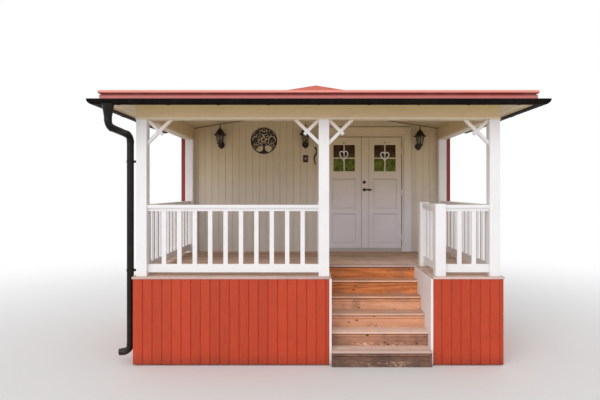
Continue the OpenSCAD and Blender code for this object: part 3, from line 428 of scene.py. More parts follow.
def weather_group():
    """Splash dirt near the ground and loose blotches, from the place on the object."""
    nodes, given, end = new_group(
        "ShaderNodeTree",
        "Weather",
        {"Vector": "Vector", "Splash Height": 0.35, "Blotch Scale": 2.0},
        {"Splash": "Float", "Blotches": "Float"},
    )
    blotch = nodes.noise(given["Vector"], given["Blotch Scale"], 6.0, 0.6)
    share = nodes.maths("DIVIDE", nodes.part(given["Vector"], 2), given["Splash Height"])
    edge = nodes.maths("ADD", share, nodes.times(nodes.noise(given["Vector"], 22.0, 4.0), 0.8))
    return end(Splash=nodes.ramp(edge, 0.3, 1.3, 1.0, 0.0), Blotches=nodes.ramp(blotch, 0.42, 0.68))


def board_joints_tree():
    """Cuts a row of joints into a slab and gives each board between them a random tone."""
    nodes, given, end = new_group(
        "GeometryNodeTree",
        "Board joints",
        {"Geometry": "Geometry", "Start": "Vector", "Step": "Vector", "Count": 1, "Cutter": "Vector", "Seed": 0,
         "Material": "Material"},
        {"Geometry": "Geometry"},
    )
    line = nodes.put("GeometryNodeMeshLine", {"Count": given["Count"], "Start Location": given["Start"],
                                              "Offset": given["Step"]}, mode="OFFSET")
    cube = nodes.put("GeometryNodeMeshCube", {"Size": (1.0, 1.0, 1.0)})
    cutters = nodes.put("GeometryNodeInstanceOnPoints", {"Points": line, "Instance": cube,
                                                         "Scale": given["Cutter"]})
    solid = nodes.put("GeometryNodeRealizeInstances", {0: cutters})
    cut = nodes.put("GeometryNodeMeshBoolean", {"Mesh 1": given["Geometry"], "Mesh 2": solid},
                    operation="DIFFERENCE")
    away = nodes.vectors("SUBTRACT", nodes.put("GeometryNodeInputPosition"), given["Start"])
    along = nodes.vectors("DOT_PRODUCT", away, given["Step"])
    size = nodes.vectors("DOT_PRODUCT", given["Step"], given["Step"])
    index = nodes.maths("FLOOR", nodes.maths("DIVIDE", along, size))
    island = nodes.node("GeometryNodeInputMeshIsland").outputs["Island Index"]
    number = nodes.maths("MULTIPLY_ADD", island, 61.0, nodes.maths("ADD", index, 20.0))
    chance = nodes.put("FunctionNodeRandomValue", {"ID": number, "Seed": given["Seed"]}, data_type="FLOAT")
    stored = nodes.put("GeometryNodeStoreNamedAttribute",
                       {"Geometry": cut, "Name": "board_tone", "Value": chance}, data_type="FLOAT", domain="FACE")
    return end(Geometry=nodes.solid_in(stored, given["Material"]))


def nail_rows_tree():
    """Adds one low round head at each point of a grid of rows."""
    nodes, given, end = new_group(
        "GeometryNodeTree",
        "Nail heads",
        {"Geometry": "Geometry", "Start": "Vector", "Row Step": "Vector", "Rows": 1, "Head Step": "Vector",
         "Heads": 1, "Radius": 0.004, "Turn": "Vector", "Material": "Material"},
        {"Geometry": "Geometry"},
    )
    rows = nodes.put("GeometryNodeMeshLine", {"Count": given["Rows"], "Start Location": given["Start"],
                                              "Offset": given["Row Step"]}, mode="OFFSET")
    heads = nodes.put("GeometryNodeMeshLine", {"Count": given["Heads"], "Offset": given["Head Step"]},
                      mode="OFFSET")
    grid = nodes.put("GeometryNodeInstanceOnPoints", {"Points": rows, "Instance": heads})
    points = nodes.put("GeometryNodeRealizeInstances", {0: grid})
    head = nodes.put("GeometryNodeMeshCone", NAIL_SHAPE)
    placed = nodes.put("GeometryNodeInstanceOnPoints", {"Points": points, "Instance": head,
                                                        "Rotation": given["Turn"], "Scale": given["Radius"]})
    both = nodes.node("GeometryNodeJoinGeometry", {0: placed})
    nodes.fill(both, {0: given["Geometry"]})
    return end(Geometry=nodes.solid_in(both.outputs[0], given["Material"]))


# Materials


def group_named(name, build):
    """A node group, built when it is first asked for."""
    return bpy.data.node_groups.get(name) or build()


class Material(Nodes):
    """A material in the making, with its Principled shader and what a place on the object tells it"""

    def __init__(self, name):
        self.made = bpy.data.materials.new(name)
        self.made.use_nodes = True
        super().__init__(self.made.node_tree)
        self.shader = self.tree.nodes["Principled BSDF"]
        coordinates = self.node("ShaderNodeTexCoord").outputs
        self.place = coordinates["Object"]
        self.facing = coordinates["Normal"]

    def height(self):
        """The height over the ground."""
        return self.part(self.place, 2)

    def tone(self):
        """The random tone of the board that a face belongs to."""
        return self.node("ShaderNodeAttribute", attribute_name="board_tone").outputs["Fac"]

    def toned(self, tint, spread, *masks):
        """Darkens each board by up to the spread, and all of them by the product of some values."""
        return self.shaded(tint, self.ramp(self.tone(), 0.0, 1.0, 1.0 - spread, 1.0, "LINEAR"), *masks)

    def effect(self, name, build, inputs):
        """Outputs of a shared node group at the place on the object."""
        node = self.node("ShaderNodeGroup", node_tree=group_named(name, build))
        return self.fill(node, {"Vector": self.place, **inputs}).outputs

    def grain(self, along, knots):
        """Fibres, Rings and Knots of wood whose grain runs along an axis, for the size of the knots."""
        return self.effect("Wood grain", wood_grain_group,
                           {"Tone": self.tone(), "Stretch": GRAIN_ALONG[along],
                            "Knot Stretch": KNOTS_ALONG[along], "Knot Size": knots})

    def weather(self, splash, blotch=2.0):
        """Splash and Blotches, for the height of the splash and the scale of the blotches."""
        return self.effect("Weather", weather_group, {"Splash Height": splash, "Blotch Scale": blotch})

    def outside(self):
        """Marks the front of the house wall beside the porch and over its roof."""
        x, y, z = (self.part(self.place, axis) for axis in range(3))
        side = self.maths("ABSOLUTE", x)
        beside = self.maths("GREATER_THAN", side, WALL_RED_FROM)
        line = self.maths("MULTIPLY_ADD", side, ROOF_SLOPE, z)
        over = self.maths("GREATER_THAN", line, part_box("roof_sheets")[1].z)
        front = self.maths("LESS_THAN", y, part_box("wall_left")[0].y + WALL_PAINT_DEPTH)
        return self.times(self.maths("MAXIMUM", beside, over), front)

    def finish(self, relief, depth, inputs):
        """Gives the surface its relief and fills the shader's inputs."""
        bump = self.put("ShaderNodeBump", {"Height": relief, "Distance": depth, "Strength": 1.0})
        self.fill(self.shader, {"Normal": bump, **inputs})
        return self.made


def painted_wood(name, base, along, spread=0.0, depth=0.0006, dirt=(120, 104, 84), splash=0.2, painted_shade_bands=(),
                 outside=None, streaks=0.965, gloss=0.5, under=1.0):
    """Brushed paint on wood: grain shows through, boards differ by the spread, dirt gathers low down.
    The bands in warm are (colour, low z, high z) of painted warm shade: each colour takes over upwards. outside
    is the paint outside the porch. streaks shades the lows of the grain, and under darkens the faces that look
    down, as painted shade."""
    m = Material(name)
    wood = m.grain(along, 0.05)
    air = m.weather(splash)
    # Painted warm shade, in bands whose colours take over upwards
    for tint, low, high in painted_shade_bands:
        base = m.mix(m.ramp(m.height(), low, high), base, tint)
    # Red of the house wall outside the porch, darkened as painted shade
    if outside:
        base = m.mix(m.outside(), base, outside)
    toned = m.toned(base, spread, m.ramp(wood["Fibres"], 0.3, 0.7, streaks, 1.0),
                    m.ramp(air["Blotches"], 0.0, 1.0, 1.0, 0.965),
                    # Painted shade on the faces that look down
                    m.ramp(m.part(m.facing, 2), -0.9, -0.4, under, 1.0))
    relief = m.maths("ADD", wood["Fibres"], m.times(wood["Rings"], 0.25))
    return m.finish(relief, depth, {
        "Base Color": m.mix(m.times(air["Splash"], 0.45), toned, colour(*dirt)),
        "Roughness": m.ramp(wood["Fibres"], 0.2, 0.8, 0.42, 0.6),
        "Specular IOR Level": gloss,
    })


def nosing_shadow_and_scuffs(m, body, stairs):
    """Painted shadow right under each tread's nosing, and wood scraped pale by shoes right over it, more so low
    down.
    stairs is (first z, step, middle x, half width, top z)."""
    first, step, middle, half, top = stairs
    share = m.maths("FRACT", m.maths("DIVIDE", m.maths("SUBTRACT", m.height(), first), step))
    # Painted shadow right under each tread's nosing
    body = m.mix(m.ramp(share, 0.89, 0.96, 0.0, 0.85), body, colour(*NOSING_SHADOW))
    across = m.maths("ABSOLUTE", m.maths("SUBTRACT", m.part(m.place, 0), middle))
    chips = m.noise(m.vectors("MULTIPLY", m.place, (1.0, 1.0, 2.5)), 26.0, 3.0, 0.7)
    scraped = m.times(m.ramp(chips, 0.52, 0.6), m.ramp(share, 0.3, 0.5, 1.0, 0.0),
                      m.ramp(across, half * 0.5, half, 1.0, 0.0),
                      m.ramp(m.height(), top * 0.4, top, 1.0, 0.0), 0.85)
    return m.mix(scraped, body, colour(*SCUFF))


def bare_wood(name, light, dark, along, knots=0.0, spread=0.25, fades=(), edges=(), streaks=0.5, painted_light_front=None,
              stairs=None):
    """Wood with its grain and knots, its boards differing by the spread.
    Each fade is (colour, low z, high z): the colour takes over downwards. edges are the fades of the faces
    towards the front. sunned is (colour, front y, back y): painted light that fades backwards into the shade
    under the roof. streaks is how dark the fibres are. stairs tells where treads stand, for the painted shadow
    under them and where shoes have scraped."""
    m = Material(name)
    wood = m.grain(along, knots)
    air = m.weather(0.12, 3.0)
    body = m.mix(m.times(wood["Rings"], 0.5), light, dark)
    body = m.mix(m.ramp(wood["Fibres"], 0.5, 0.75, 0.0, streaks), body, dark)
    for tint, low, high in fades:
        worn = m.maths("ADD", m.ramp(m.height(), low, high, 1.0, 0.0),
                       m.maths("MULTIPLY_ADD", air["Blotches"], 0.4, -0.2), clamp=True)
        body = m.mix(m.times(worn, m.ramp(wood["Fibres"], 0.3, 0.6, 1.0, 0.6)), body, tint)
    # Painted light on the front of the deck, fading back into the shade under the roof
    if painted_light_front:
        tint, front, back = painted_light_front
        body = m.mix(m.ramp(m.part(m.place, 1), front, back, 0.8, 0.0), body, tint)
    # Paler colour on the faces that look to the front
    for tint, low, high in edges:
        front_face = m.ramp(m.part(m.facing, 1), -0.9, -0.5, 0.85, 0.0)
        body = m.mix(m.times(front_face, m.ramp(m.height(), low, high, 1.0, 0.0)), body, tint)
    if stairs:
        body = nosing_shadow_and_scuffs(m, body, stairs)
    toned = m.toned(body, spread, m.ramp(air["Blotches"], 0.0, 1.0, 1.0, 0.86))
    knotty = m.mix(m.times(wood["Knots"], 0.85), toned, colour(*KNOT))
    relief = m.maths("ADD", wood["Fibres"], m.times(wood["Rings"], 0.3))
    return m.finish(relief, 0.0012, {
        "Base Color": m.mix(m.times(air["Splash"], 0.4), knotty, colour(*SPLASH_MUD)),
        "Roughness": 0.8,
        "Specular IOR Level": 0.25,
    })


def coated_metal(name, base, rough, dust_colour=(120, 112, 100), dust=0.25, metallic=0.0, scale=6.0, depth=0.0004,
                 gloss=0.5, painted_light_bands=()):
    """Painted or coated metal with a film of dust and a faint unevenness.
    Each band in bands is (colour, z): painted highlight and shadow, the colour taking over above this height."""
    m = Material(name)
    # Painted highlight and shadow, in bands by height
    for tint, line in painted_light_bands:
        base = m.mix(m.ramp(m.height(), line - BAND_BLUR, line + BAND_BLUR), base, tint)
    air = m.weather(0.3, scale)
    speck = m.noise(m.place, 90.0, 3.0)
    film = m.maths("ADD", m.times(air["Blotches"], dust), m.times(air["Splash"], 0.35), clamp=True)
    film = m.times(film, m.ramp(speck, 0.3, 0.7, 0.6, 1.0))
    return m.finish(m.maths("MULTIPLY_ADD", speck, 0.1, m.noise(m.place, 3.0, 1.0)), depth, {
        "Base Color": m.mix(film, base, colour(*dust_colour)),
        "Roughness": m.maths("MULTIPLY_ADD", film, 0.4, rough),
        "Metallic": metallic,
        "Specular IOR Level": gloss,
    })


def rough_concrete(name, base):
    """Cast concrete with grit, pores and dirt."""
    m = Material(name)
    air = m.weather(0.25, 5.0)
    grit = m.noise(m.place, 120.0, 6.0, 0.7)
    pores = m.node("ShaderNodeTexVoronoi", {"Vector": m.place, "Scale": 60.0}).outputs["Distance"]
    holes = m.ramp(pores, 0.08, 0.2, 1.0, 0.0)
    for mask, tint in ((m.ramp(grit, 0.3, 0.7, 0.0, 0.45), (104, 100, 94)),
                       (m.times(air["Blotches"], 0.35), (120, 116, 104)),
                       (m.times(air["Splash"], 0.5), (104, 92, 76)),
                       (m.times(holes, 0.4), (70, 66, 60))):
        base = m.mix(mask, base, colour(*tint))
    return m.finish(m.maths("SUBTRACT", grit, holes), 0.002, {"Base Color": base, "Roughness": 0.92})


def glass_with_painted_reflection(name, base, reflected_ceiling):
    """Window glass with a painted reflection in blotches: the green of the garden low in it, the brown ceiling
    high up.
    """
    m = Material(name)
    low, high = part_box("door_glass_left")
    middle = (low.z + high.z) / 2
    # Blotches of the painted reflection
    reflection_mottle = m.noise(m.place, 13.0, 5.0, bend=0.6)
    level = m.maths("ADD", m.height(), m.maths("MULTIPLY_ADD", reflection_mottle, 0.4, -0.2))
    body = m.mix(m.ramp(level, middle - 0.05, middle + 0.12), base, reflected_ceiling)
    return m.finish(m.noise(m.place, 5.0, 0.0), 0.0015, {
        "Base Color": m.shaded(body, m.ramp(reflection_mottle, 0.35, 0.65, 0.5, 1.25)),
        "Roughness": 0.15,
        "Specular IOR Level": 0.06,
    })


def clear_glass(name):
    """Thin old glass that lets most light through."""
    m = Material(name)
    return m.finish(m.noise(m.place, 30.0, 1.0), 0.001, {
        "Base Color": colour(*OLD_GLASS),
        "Roughness": 0.08,
        "IOR": 1.15,
        "Transmission Weight": 0.85,
    })


def make_materials():
    """The materials by the short names that the pieces use."""
    c = bpy.context.scene.porch_colours
    beam_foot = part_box("roof_beams")[0].z
    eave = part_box("roof_sheets")[0].z
    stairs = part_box("stair_treads")
    feet = sorted(box[0].z for box in solid_boxes("stair_treads"))
    step = (feet[-1] - feet[0]) / (len(feet) - 1)
    timber_dark = colour(*TIMBER_GRAIN)
    # Painted warm shade that wall boards and doors take on high up
    painted_shade_high_up = ((c.cream, 1.6, 3.2),)
    return {
        "post": painted_wood("white_paint_upright", c.white, "Z", splash=0.12),
        # Painted warm shade on the braces' upper ends, near the beam
        "brace": painted_wood("white_paint_braces", c.white, "Z", painted_shade_bands=((c.brace, beam_foot - 0.2, beam_foot),)),
        "rail": painted_wood("white_paint_level", c.white, "X"),
        # Beams: a painted highlight on the lower edge, painted shade in the tan and olive bands above and on
        # faces that look down
        "beam": painted_wood("cream_paint_level", c.pale, "X", 0.06, streaks=0.9, under=0.8, painted_shade_bands=(
            (c.tan, beam_foot + 0.028, beam_foot + 0.034), (c.olive, beam_foot + 0.06, beam_foot + 0.16))),
        # The ceiling's cream is its paint, warmed as painted warm light under the roof
        "ceiling": painted_wood("cream_paint_ceiling", c.cream, "X", 0.1),
        "ceiling_side": painted_wood("cream_paint_ceiling_side", c.cream, "Y", 0.1),
        # Wall boards: painted warm shade upwards, and the red outside the porch darkened as painted shade
        "wall": painted_wood("cream_paint_wall", c.wall, "Z", 0.07, painted_shade_bands=painted_shade_high_up, outside=c.red_in_painted_shade),
        # Doors: painted warm shade upwards, and painted shade on their faces that look down
        "door": painted_wood("door_paint", c.door, "Z", depth=0.0003, under=0.66, painted_shade_bands=painted_shade_high_up),
        "sill": painted_wood("sill_paint", c.sill, "X"),
        "red": painted_wood("red_paint", c.red, "Z", 0.11, dirt=(110, 48, 34), streaks=0.82, gloss=0.3),
        # Deck: paler faces to the front, and painted light on its front, fading back
        "deck": bare_wood("weathered_deck", c.deck, colour(*DECK_GRAIN), "X", edges=((c.pale_front_face, 2.0, 2.1),),
                          painted_light_front=(c.painted_light_front, 0.0, 1.1)),
        # Treads: paler faces to the front, and painted light on the lower treads
        "tread": bare_wood("weathered_treads", c.tread, colour(*TREAD_GRAIN), "X", streaks=0.8,
                           edges=((c.faded, 2.0, 2.1), (c.pale_front_face, 0.3, 0.7)), fades=((c.tread_painted_light, 0.3, 0.9),)),
        "riser": bare_wood("pine_risers", c.pine, c.pine_dark, "X", 0.14, 0.2, streaks=0.9, fades=(
            (c.faded, 0.66, 0.84), (c.dull, 0.4, 0.6), (c.tired, 0.26, 0.42), (c.worn, 0.12, 0.2)),
            stairs=(feet[0], step, (stairs[0].x + stairs[1].x) / 2, 0.45, 0.6)),
        "timber": bare_wood("bare_timber", c.timber, timber_dark, "X", 0.12),
        "timber_y": bare_wood("bare_timber_crosswise", c.timber, timber_dark, "Y", 0.12),
        # The sheets' folded edge: painted shadow at its foot and a painted highlight above it
        "sheet": coated_metal("red_roof_sheet", c.lip_painted_shadow, 0.42, (206, 150, 138), 0.3, depth=0.002,
                              painted_light_bands=((c.lip, eave + 0.011), (c.sheet, eave + 0.042))),
        # The eave flashing: painted highlight on its rolled foot and painted shadow at its top, under the sheets'
        # edge
        "flashing": coated_metal("red_flashing", c.apron_painted_highlight, 0.5, (196, 140, 128), 0.2, depth=0.001,
                                 painted_light_bands=((c.flashing, eave - 0.062), (c.apron_painted_shadow, eave - 0.03))),
        "black": coated_metal("black_gutter_metal", c.black, 0.5, dust=0.04, gloss=0.06),
        "pipe": coated_metal("black_pipe_metal", c.black, 0.28, dust=0.04, gloss=0.25),
        # Brown of the seals, partly painted shade in the door gaps, and of the painted shadow strips
        "seal_and_shadow": coated_metal("seal_and_shadow_brown", colour(*SEAL_AND_SHADOW_BROWN), 0.8, dust=0.1, gloss=0.2),
        "iron": coated_metal("black_wrought_iron", c.iron, 0.45, dust=0.1, metallic=0.4, scale=20.0, depth=0.001),
        "brown": coated_metal("brown_lantern_metal", c.brown, 0.4, dust=0.15, metallic=0.5, scale=20.0,
                              depth=0.001),
        "steel": coated_metal("nail_steel", colour(*STEEL), 0.4, metallic=0.8, scale=30.0),
        "mauve": coated_metal("enamel_mauve", colour(*MAUVE), 0.3, dust=0.1, scale=30.0),
        "concrete": rough_concrete("concrete", c.concrete),
        # Panes with a painted reflection
        "glass": glass_with_painted_reflection("window_glass_painted_reflection", c.glass, c.reflected_ceiling),
        "clear": clear_glass("lantern_glass"),
    }


MATERIALS = {}


# Meshes


def loose_solids(bm):
    """The loose solids of a mesh, each with its corners, its lowest and its highest corner."""
    seen = set()
    found = []
    for first in bm.verts:
        if first in seen:
            continue
        seen.add(first)
        solid = [first]
        for vert in solid:
            for edge in vert.link_edges:
                other = edge.other_vert(vert)
                if other not in seen:
                    seen.add(other)
                    solid.append(other)
        low = Vector(min(v.co[i] for v in solid) for i in range(3))
        high = Vector(max(v.co[i] for v in solid) for i in range(3))
        found.append((solid, low, high))
    return found


def solid_boxes(node):
    """Lowest and highest corner of each solid of a CAD node, from left to right, then from front to back."""
    bm = bmesh.new()
    bm.from_mesh(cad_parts[node].data)
    bmesh.ops.remove_doubles(bm, verts=bm.verts, dist=MERGE)
    boxes = sorted((found[1:] for found in loose_solids(bm)),
                   key=lambda pair: [round(value, DECIMALS) for value in pair[0]])
    bm.free()
    return boxes


def clean_mesh(node, name, wanted=None):
    """Copies a CAD node's mesh, merges its triangles into faces and keeps the solids that wanted accepts.
    It is asked with the lowest and the highest corner of each solid."""
    bm = bmesh.new()
    bm.from_mesh(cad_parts[node].data)
    bmesh.ops.remove_doubles(bm, verts=bm.verts, dist=MERGE)
    if wanted:
        gone = [vert for solid, low, high in loose_solids(bm) if not wanted(low, high) for vert in solid]
        bmesh.ops.delete(bm, geom=gone, context="VERTS")
    bmesh.ops.dissolve_limit(bm, angle_limit=FLAT, verts=bm.verts, edges=bm.edges)
    return mesh_from(bm, name, recalc=False)


def mesh_from(bm, name, recalc=True):
    """Turns a bmesh into a mesh, with its faces pointing outwards if recalc is set."""
    if recalc:
        bmesh.ops.recalc_face_normals(bm, faces=bm.faces)
    mesh = bpy.data.meshes.new(name)
    bm.to_mesh(mesh)
    bm.free()
    return mesh


def six_faces(bm, corners):
    """Closes eight corners, in the order of a box's x, then y, then z, with six faces."""
    made = [bm.verts.new(corner) for corner in corners]
    for face in ((0, 1, 3, 2), (4, 6, 7, 5), (0, 4, 5, 1), (2, 3, 7, 6), (0, 2, 6, 4), (1, 5, 7, 3)):
        bm.faces.new([made[i] for i in face])


def box_mesh(bm, low, high):
    """Adds a closed box to a bmesh."""
    six_faces(bm, [(x, y, z) for x in (low[0], high[0]) for y in (low[1], high[1]) for z in (low[2], high[2])])


def bridge(bm, rings, closed=False):
    """Joins each ring of corners to the next with faces, and the last to the first if closed."""
    for one, two in zip(rings, rings[1:] + (rings[:1] if closed else [])):
        for k in range(len(one)):
            after = (k + 1) % len(one)
            bm.faces.new((one[k], one[after], two[after], two[k]))


def frame_ring(bm, low, high, profile):
    """Adds a mitred frame round a field. Each profile point is (inwards from the field's edge, y)."""
    corners = ((low[0], low[1], 1, 1), (high[0], low[1], -1, 1), (high[0], high[1], -1, -1),
               (low[0], high[1], 1, -1))
    rings = [[bm.verts.new((x + sx * inward, y, z + sz * inward)) for inward, y in profile]
             for x, z, sx, sz in corners]
    bridge(bm, rings, closed=True)


def ring_angles(sides):
    """The angles of the corners of a ring."""
    return [2 * math.pi * k / sides for k in range(sides)]


def lathe(bm, middle, profile):
    """Adds a turned body. Each profile point is (radius, height); the ends lie on the axis."""
    rings = [[bm.verts.new(middle + Vector((radius * math.cos(a), radius * math.sin(a), height)))
              for a in ring_angles(ROUND_SIDES)] for radius, height in profile[1:-1]]
    bridge(bm, rings)
    for ring, (radius, height) in ((rings[0], profile[0]), (rings[-1], profile[-1])):
        tip = bm.verts.new(middle + Vector((0, 0, height)))
        for k in range(ROUND_SIDES):
            bm.faces.new((ring[k], ring[(k + 1) % ROUND_SIDES], tip))


def sweep(bm, path, radius, sides=6, closed=False, flat=1.0, thin_end=1.0):
    """Adds a round rod along a path of points in one upright plane. flat is its depth as a share of its height,
    and thin_end is the share of its thickness left at its end."""
    rings = []
    count = len(path)
    for i, point in enumerate(path):
        before = path[(i - 1) % count] if closed or i else point
        after = path[(i + 1) % count] if closed or i < count - 1 else point
        along = (after - before).normalized()
        across = Vector((0, 1, 0))
        up = along.cross(across).normalized()
        thick = radius * (1 + (thin_end - 1) * i / (count - 1))
        rings.append([bm.verts.new(point + across * (math.cos(a) * thick * flat) + up * (math.sin(a) * thick))
                      for a in ring_angles(sides)])
    bridge(bm, rings, closed)
    if not closed:
        bm.faces.new(list(reversed(rings[0])))
        bm.faces.new(rings[-1])


def curve_point(a, b, c, d, t):
    """A point on the smooth curve from b to c whose neighbours are a and d."""
    return 0.5 * (2 * b + (c - a) * t + (2 * a - 5 * b + 4 * c - d) * t ** 2 + (3 * b - a - 3 * c + d) * t ** 3)


# Pieces


def new_piece(name, mesh):
    """An object in the scene, at the origin."""
    piece = bpy.data.objects.new(name, mesh)
    bpy.context.scene.collection.objects.link(piece)
    return piece


def set_inputs(piece, tree, values):
    """Adds a Geometry Nodes modifier and fills its inputs by their identifiers."""
    modifier = piece.modifiers.new(tree.name, "NODES")
    modifier.node_group = tree
    for item in tree.interface.items_tree:
        if item.in_out == "INPUT" and item.name in values:
            modifier[item.identifier] = values[item.name]


def bake(piece, width=0.0, segments=2):
    """Rounds the sharp edges by a width and turns the piece with its modifiers into a plain mesh."""
    if width:
        bevel = piece.modifiers.new("Edges", "BEVEL")
        bevel.width = width
        bevel.segments = segments
        bevel.limit_method = "ANGLE"
        bevel.angle_limit = SHARP
        bevel.use_clamp_overlap = True
    graph = bpy.context.evaluated_depsgraph_get()
    mesh = bpy.data.meshes.new_from_object(piece.evaluated_get(graph))
    piece.modifiers.clear()
    piece.data = mesh


def declare(piece, material, body=PORCH, nodes=(), smooth=False):
    """Gives the finished piece its material and body, and hides the CAD nodes it stands for."""
    piece.data.materials.clear()
    piece.data.materials.append(MATERIALS[material])
    if smooth:
        piece.data.shade_smooth()
        piece.data.set_sharp_from_angle(angle=SHARP)
    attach(piece, body)
    if nodes:
        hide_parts(*nodes)


def add(name, bm, material, body=PORCH, width=0.0, smooth=False):
    """Makes a piece of a bmesh, with its edges rounded by a width."""
    piece = new_piece(name, mesh_from(bm, name))
    if width:
        bake(piece, width)
    declare(piece, material, body, smooth=smooth)


def dress(node, material, body=PORCH, width=None, smooth=False):
    """Stands a copy of a CAD node in its place, with its edges rounded by a width or by the usual one."""
    piece = new_piece(node + "_finished", clean_mesh(node, node))
    if width is None:
        width = bpy.context.scene.porch_sizes.edge_round
    if width:
        bake(piece, width)
    declare(piece, material, body, (node,), smooth)


def board(node, name, material, rows, seed, width=0.0015, wanted=None, replaces=True):
    """Stands a copy of a CAD node, cut into boards, in its place.
    Each row of cuts is (start, step, count, cutter)."""
    piece = new_piece(name, clean_mesh(node, name, wanted))
    tree = group_named("Board joints", board_joints_tree)
    for start, step, count, cutter in rows:
        set_inputs(piece, tree, {"Start": start, "Step": step, "Count": count, "Cutter": cutter, "Seed": seed,
                                 "Material": MATERIALS[material]})
    bake(piece, width, 1)
    declare(piece, material, PORCH, (node,) if replaces else ())


def nails(name, rows, turn=(0.0, 0.0, 0.0)):
    """One piece of nail heads. Each row is (start, row step, rows, head step, heads)."""
    piece = new_piece(name, bpy.data.meshes.new(name))
    tree = group_named("Nail heads", nail_rows_tree)
    radius = bpy.context.scene.porch_sizes.nail
    for start, row_step, count, head_step, heads in rows:
        set_inputs(piece, tree, {"Start": start, "Row Step": row_step, "Rows": count, "Head Step": head_step,
                                 "Heads": heads, "Radius": radius, "Turn": turn, "Material": MATERIALS["steel"]})
    bake(piece)
    declare(piece, "steel")


class PORCH_OT_materials(bpy.types.Operator):
    """Make the paints, woods, metals and glass"""

    bl_idname = "porch.materials"
    bl_label = "Materials"

    def execute(self, context):
        MATERIALS.update(make_materials())
        return {"FINISHED"}


class PORCH_OT_base(bpy.types.Operator):
    """Finish the piers, the footing and the timber under the floor"""

    bl_idname = "porch.base"
    bl_label = "Base"

    def execute(self, context):
        dress("foundation_piers", "concrete", width=0.008)
        dress("wall_footing", "concrete", width=0.004)
        dress("floor_beams", "timber")
        dress("floor_joists", "timber_y")
        dress("stair_stringers", "timber_y")
        return {"FINISHED"}


class PORCH_OT_skirts(bpy.types.Operator):
    """Cut the red skirts into upright boards and nail them"""

    bl_idname = "porch.skirts"
    bl_label = "Red skirts"

    def execute(self, context):
        sizes = context.scene.porch_sizes
        low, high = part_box("skirts")
        pitch = sizes.skirt_board
        middle = (low.z + high.z) / 2
        tall = high.z - low.z + CUT_PAST
        face = 2 * sizes.joint_depth
        count = math.ceil((high.x - low.x) / pitch)
        across = ((low.x + pitch, low.y, middle), (pitch, 0, 0), count, (sizes.skirt_joint, face, tall))
        board("skirts", "skirt_boards_front", "red", [across], seed=3, width=0.003,
              wanted=lambda a, b: b.x - a.x > SKIRT_THICK)
        deep = math.ceil((high.y - low.y) / pitch)
        for side, x, seed in (("left", low.x, 5), ("right", high.x, 7)):
            back = ((x, low.y + pitch, middle), (0, pitch, 0), deep, (face, sizes.skirt_joint, tall))
            board("skirts", "skirt_boards_" + side, "red", [back], seed=seed, width=0.003,
                  replaces=False,
                  wanted=lambda a, b, x=x: b.x - a.x < SKIRT_THICK and abs((a.x + b.x) / 2 - x) < SKIRT_THICK)
        dress("stair_cheeks", "rail")
        self.nail(low, high, pitch)
        return {"FINISHED"}

    def nail(self, low, high, pitch):
        """Three rows of nails in the boards on each side of the stairs."""
        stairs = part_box("stair_cheeks")
        step = (high.z - low.z - 2 * NAIL_EDGE) / 2
        rows = []
        for from_x, to_x in ((low.x, stairs[0].x), (stairs[1].x, high.x)):
            first = low.x + pitch * (math.ceil((from_x - low.x) / pitch) + 0.5)
            heads = math.floor((to_x - first) / pitch) + 1
            rows.append(((first, low.y - NAIL_LIFT, low.z + NAIL_EDGE), (0, 0, step), 3, (pitch, 0, 0), heads))
        nails("skirt_nails", rows, (math.radians(90), 0, 0))


class PORCH_OT_floor(bpy.types.Operator):
    """Cut the deck into boards and nail them to the joists"""

    bl_idname = "porch.floor"
    bl_label = "Deck"

    def execute(self, context):
        sizes = context.scene.porch_sizes
        low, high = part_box("deck_floor")
        pitch = sizes.deck_board
        start = (0, low.y + pitch, (low.z + high.z) / 2)
        count = math.ceil((high.y - low.y) / pitch)
        board("deck_floor", "deck_boards", "deck",
              [(start, (0, pitch, 0), count, (CUT_LONG, sizes.deck_gap, CUT_PAST))], seed=11, width=0.002)
        self.nail(low, high, pitch)
        return {"FINISHED"}

    def nail(self, low, high, pitch):
        """Two nails in each board over each timber that runs backwards."""
        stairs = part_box("stair_cheeks")
        rows = []
        for timber_low, timber_high in solid_boxes("floor_joists") + solid_boxes("floor_beams"):
            if timber_high.y - timber_low.y < TIMBER_SHORT:
                continue
            x = (timber_low.x + timber_high.x) / 2
            over_stairs = stairs[0].x - 0.01 < x < stairs[1].x + 0.01
            front = stairs[1].y if over_stairs else low.y
            first = math.ceil((front - low.y) / pitch)
            boards = math.floor((high.y - low.y) / pitch) - first
            for share in DECK_NAIL_SHARES:
                place = (x, low.y + pitch * (first + share), high.z + NAIL_LIFT)
                rows.append((place, (0, pitch, 0), boards, (0, 0, 0), 1))
        nails("deck_nails", rows)


class PORCH_OT_stairs(bpy.types.Operator):
    """Split each tread and each riser into two boards"""

    bl_idname = "porch.stairs"
    bl_label = "Stairs"

    def execute(self, context):
        sizes = context.scene.porch_sizes
        cuts = []
        rows = []
        for low, high in sorted(solid_boxes("stair_treads"), key=lambda pair: pair[0].z):
            cuts.append(((low + high) / 2, (0, 1, 0), 1, (STAIR_CUT_LONG, sizes.deck_gap, TREAD_CUT)))
            for share in TREAD_NAIL_SHARES:
                start = (low.x + TREAD_NAIL_EDGE, low.y + (high.y - low.y) * share, high.z + NAIL_LIFT)
                step = (high.x - low.x - 2 * TREAD_NAIL_EDGE) / 2
                rows.append((start, (0, 0, 0), 1, (step, 0, 0), 3))
        board("stair_treads", "tread_boards", "tread", cuts, seed=23, width=0.003)
        nails("tread_nails", rows)
        risers = solid_boxes("stair_risers")
        risers.append(risers.pop(TONE_RISER))
        cutter = (STAIR_CUT_LONG, RISER_CUT, sizes.riser_joint)
        cuts = [(((low.x + high.x) / 2, low.y, high.z - RISER_TOP_BOARD), (0, 0, 1), 1, cutter)
                for low, high in risers]
        board("stair_risers", "riser_boards", "riser", cuts, seed=29, width=0.002)
        return {"FINISHED"}


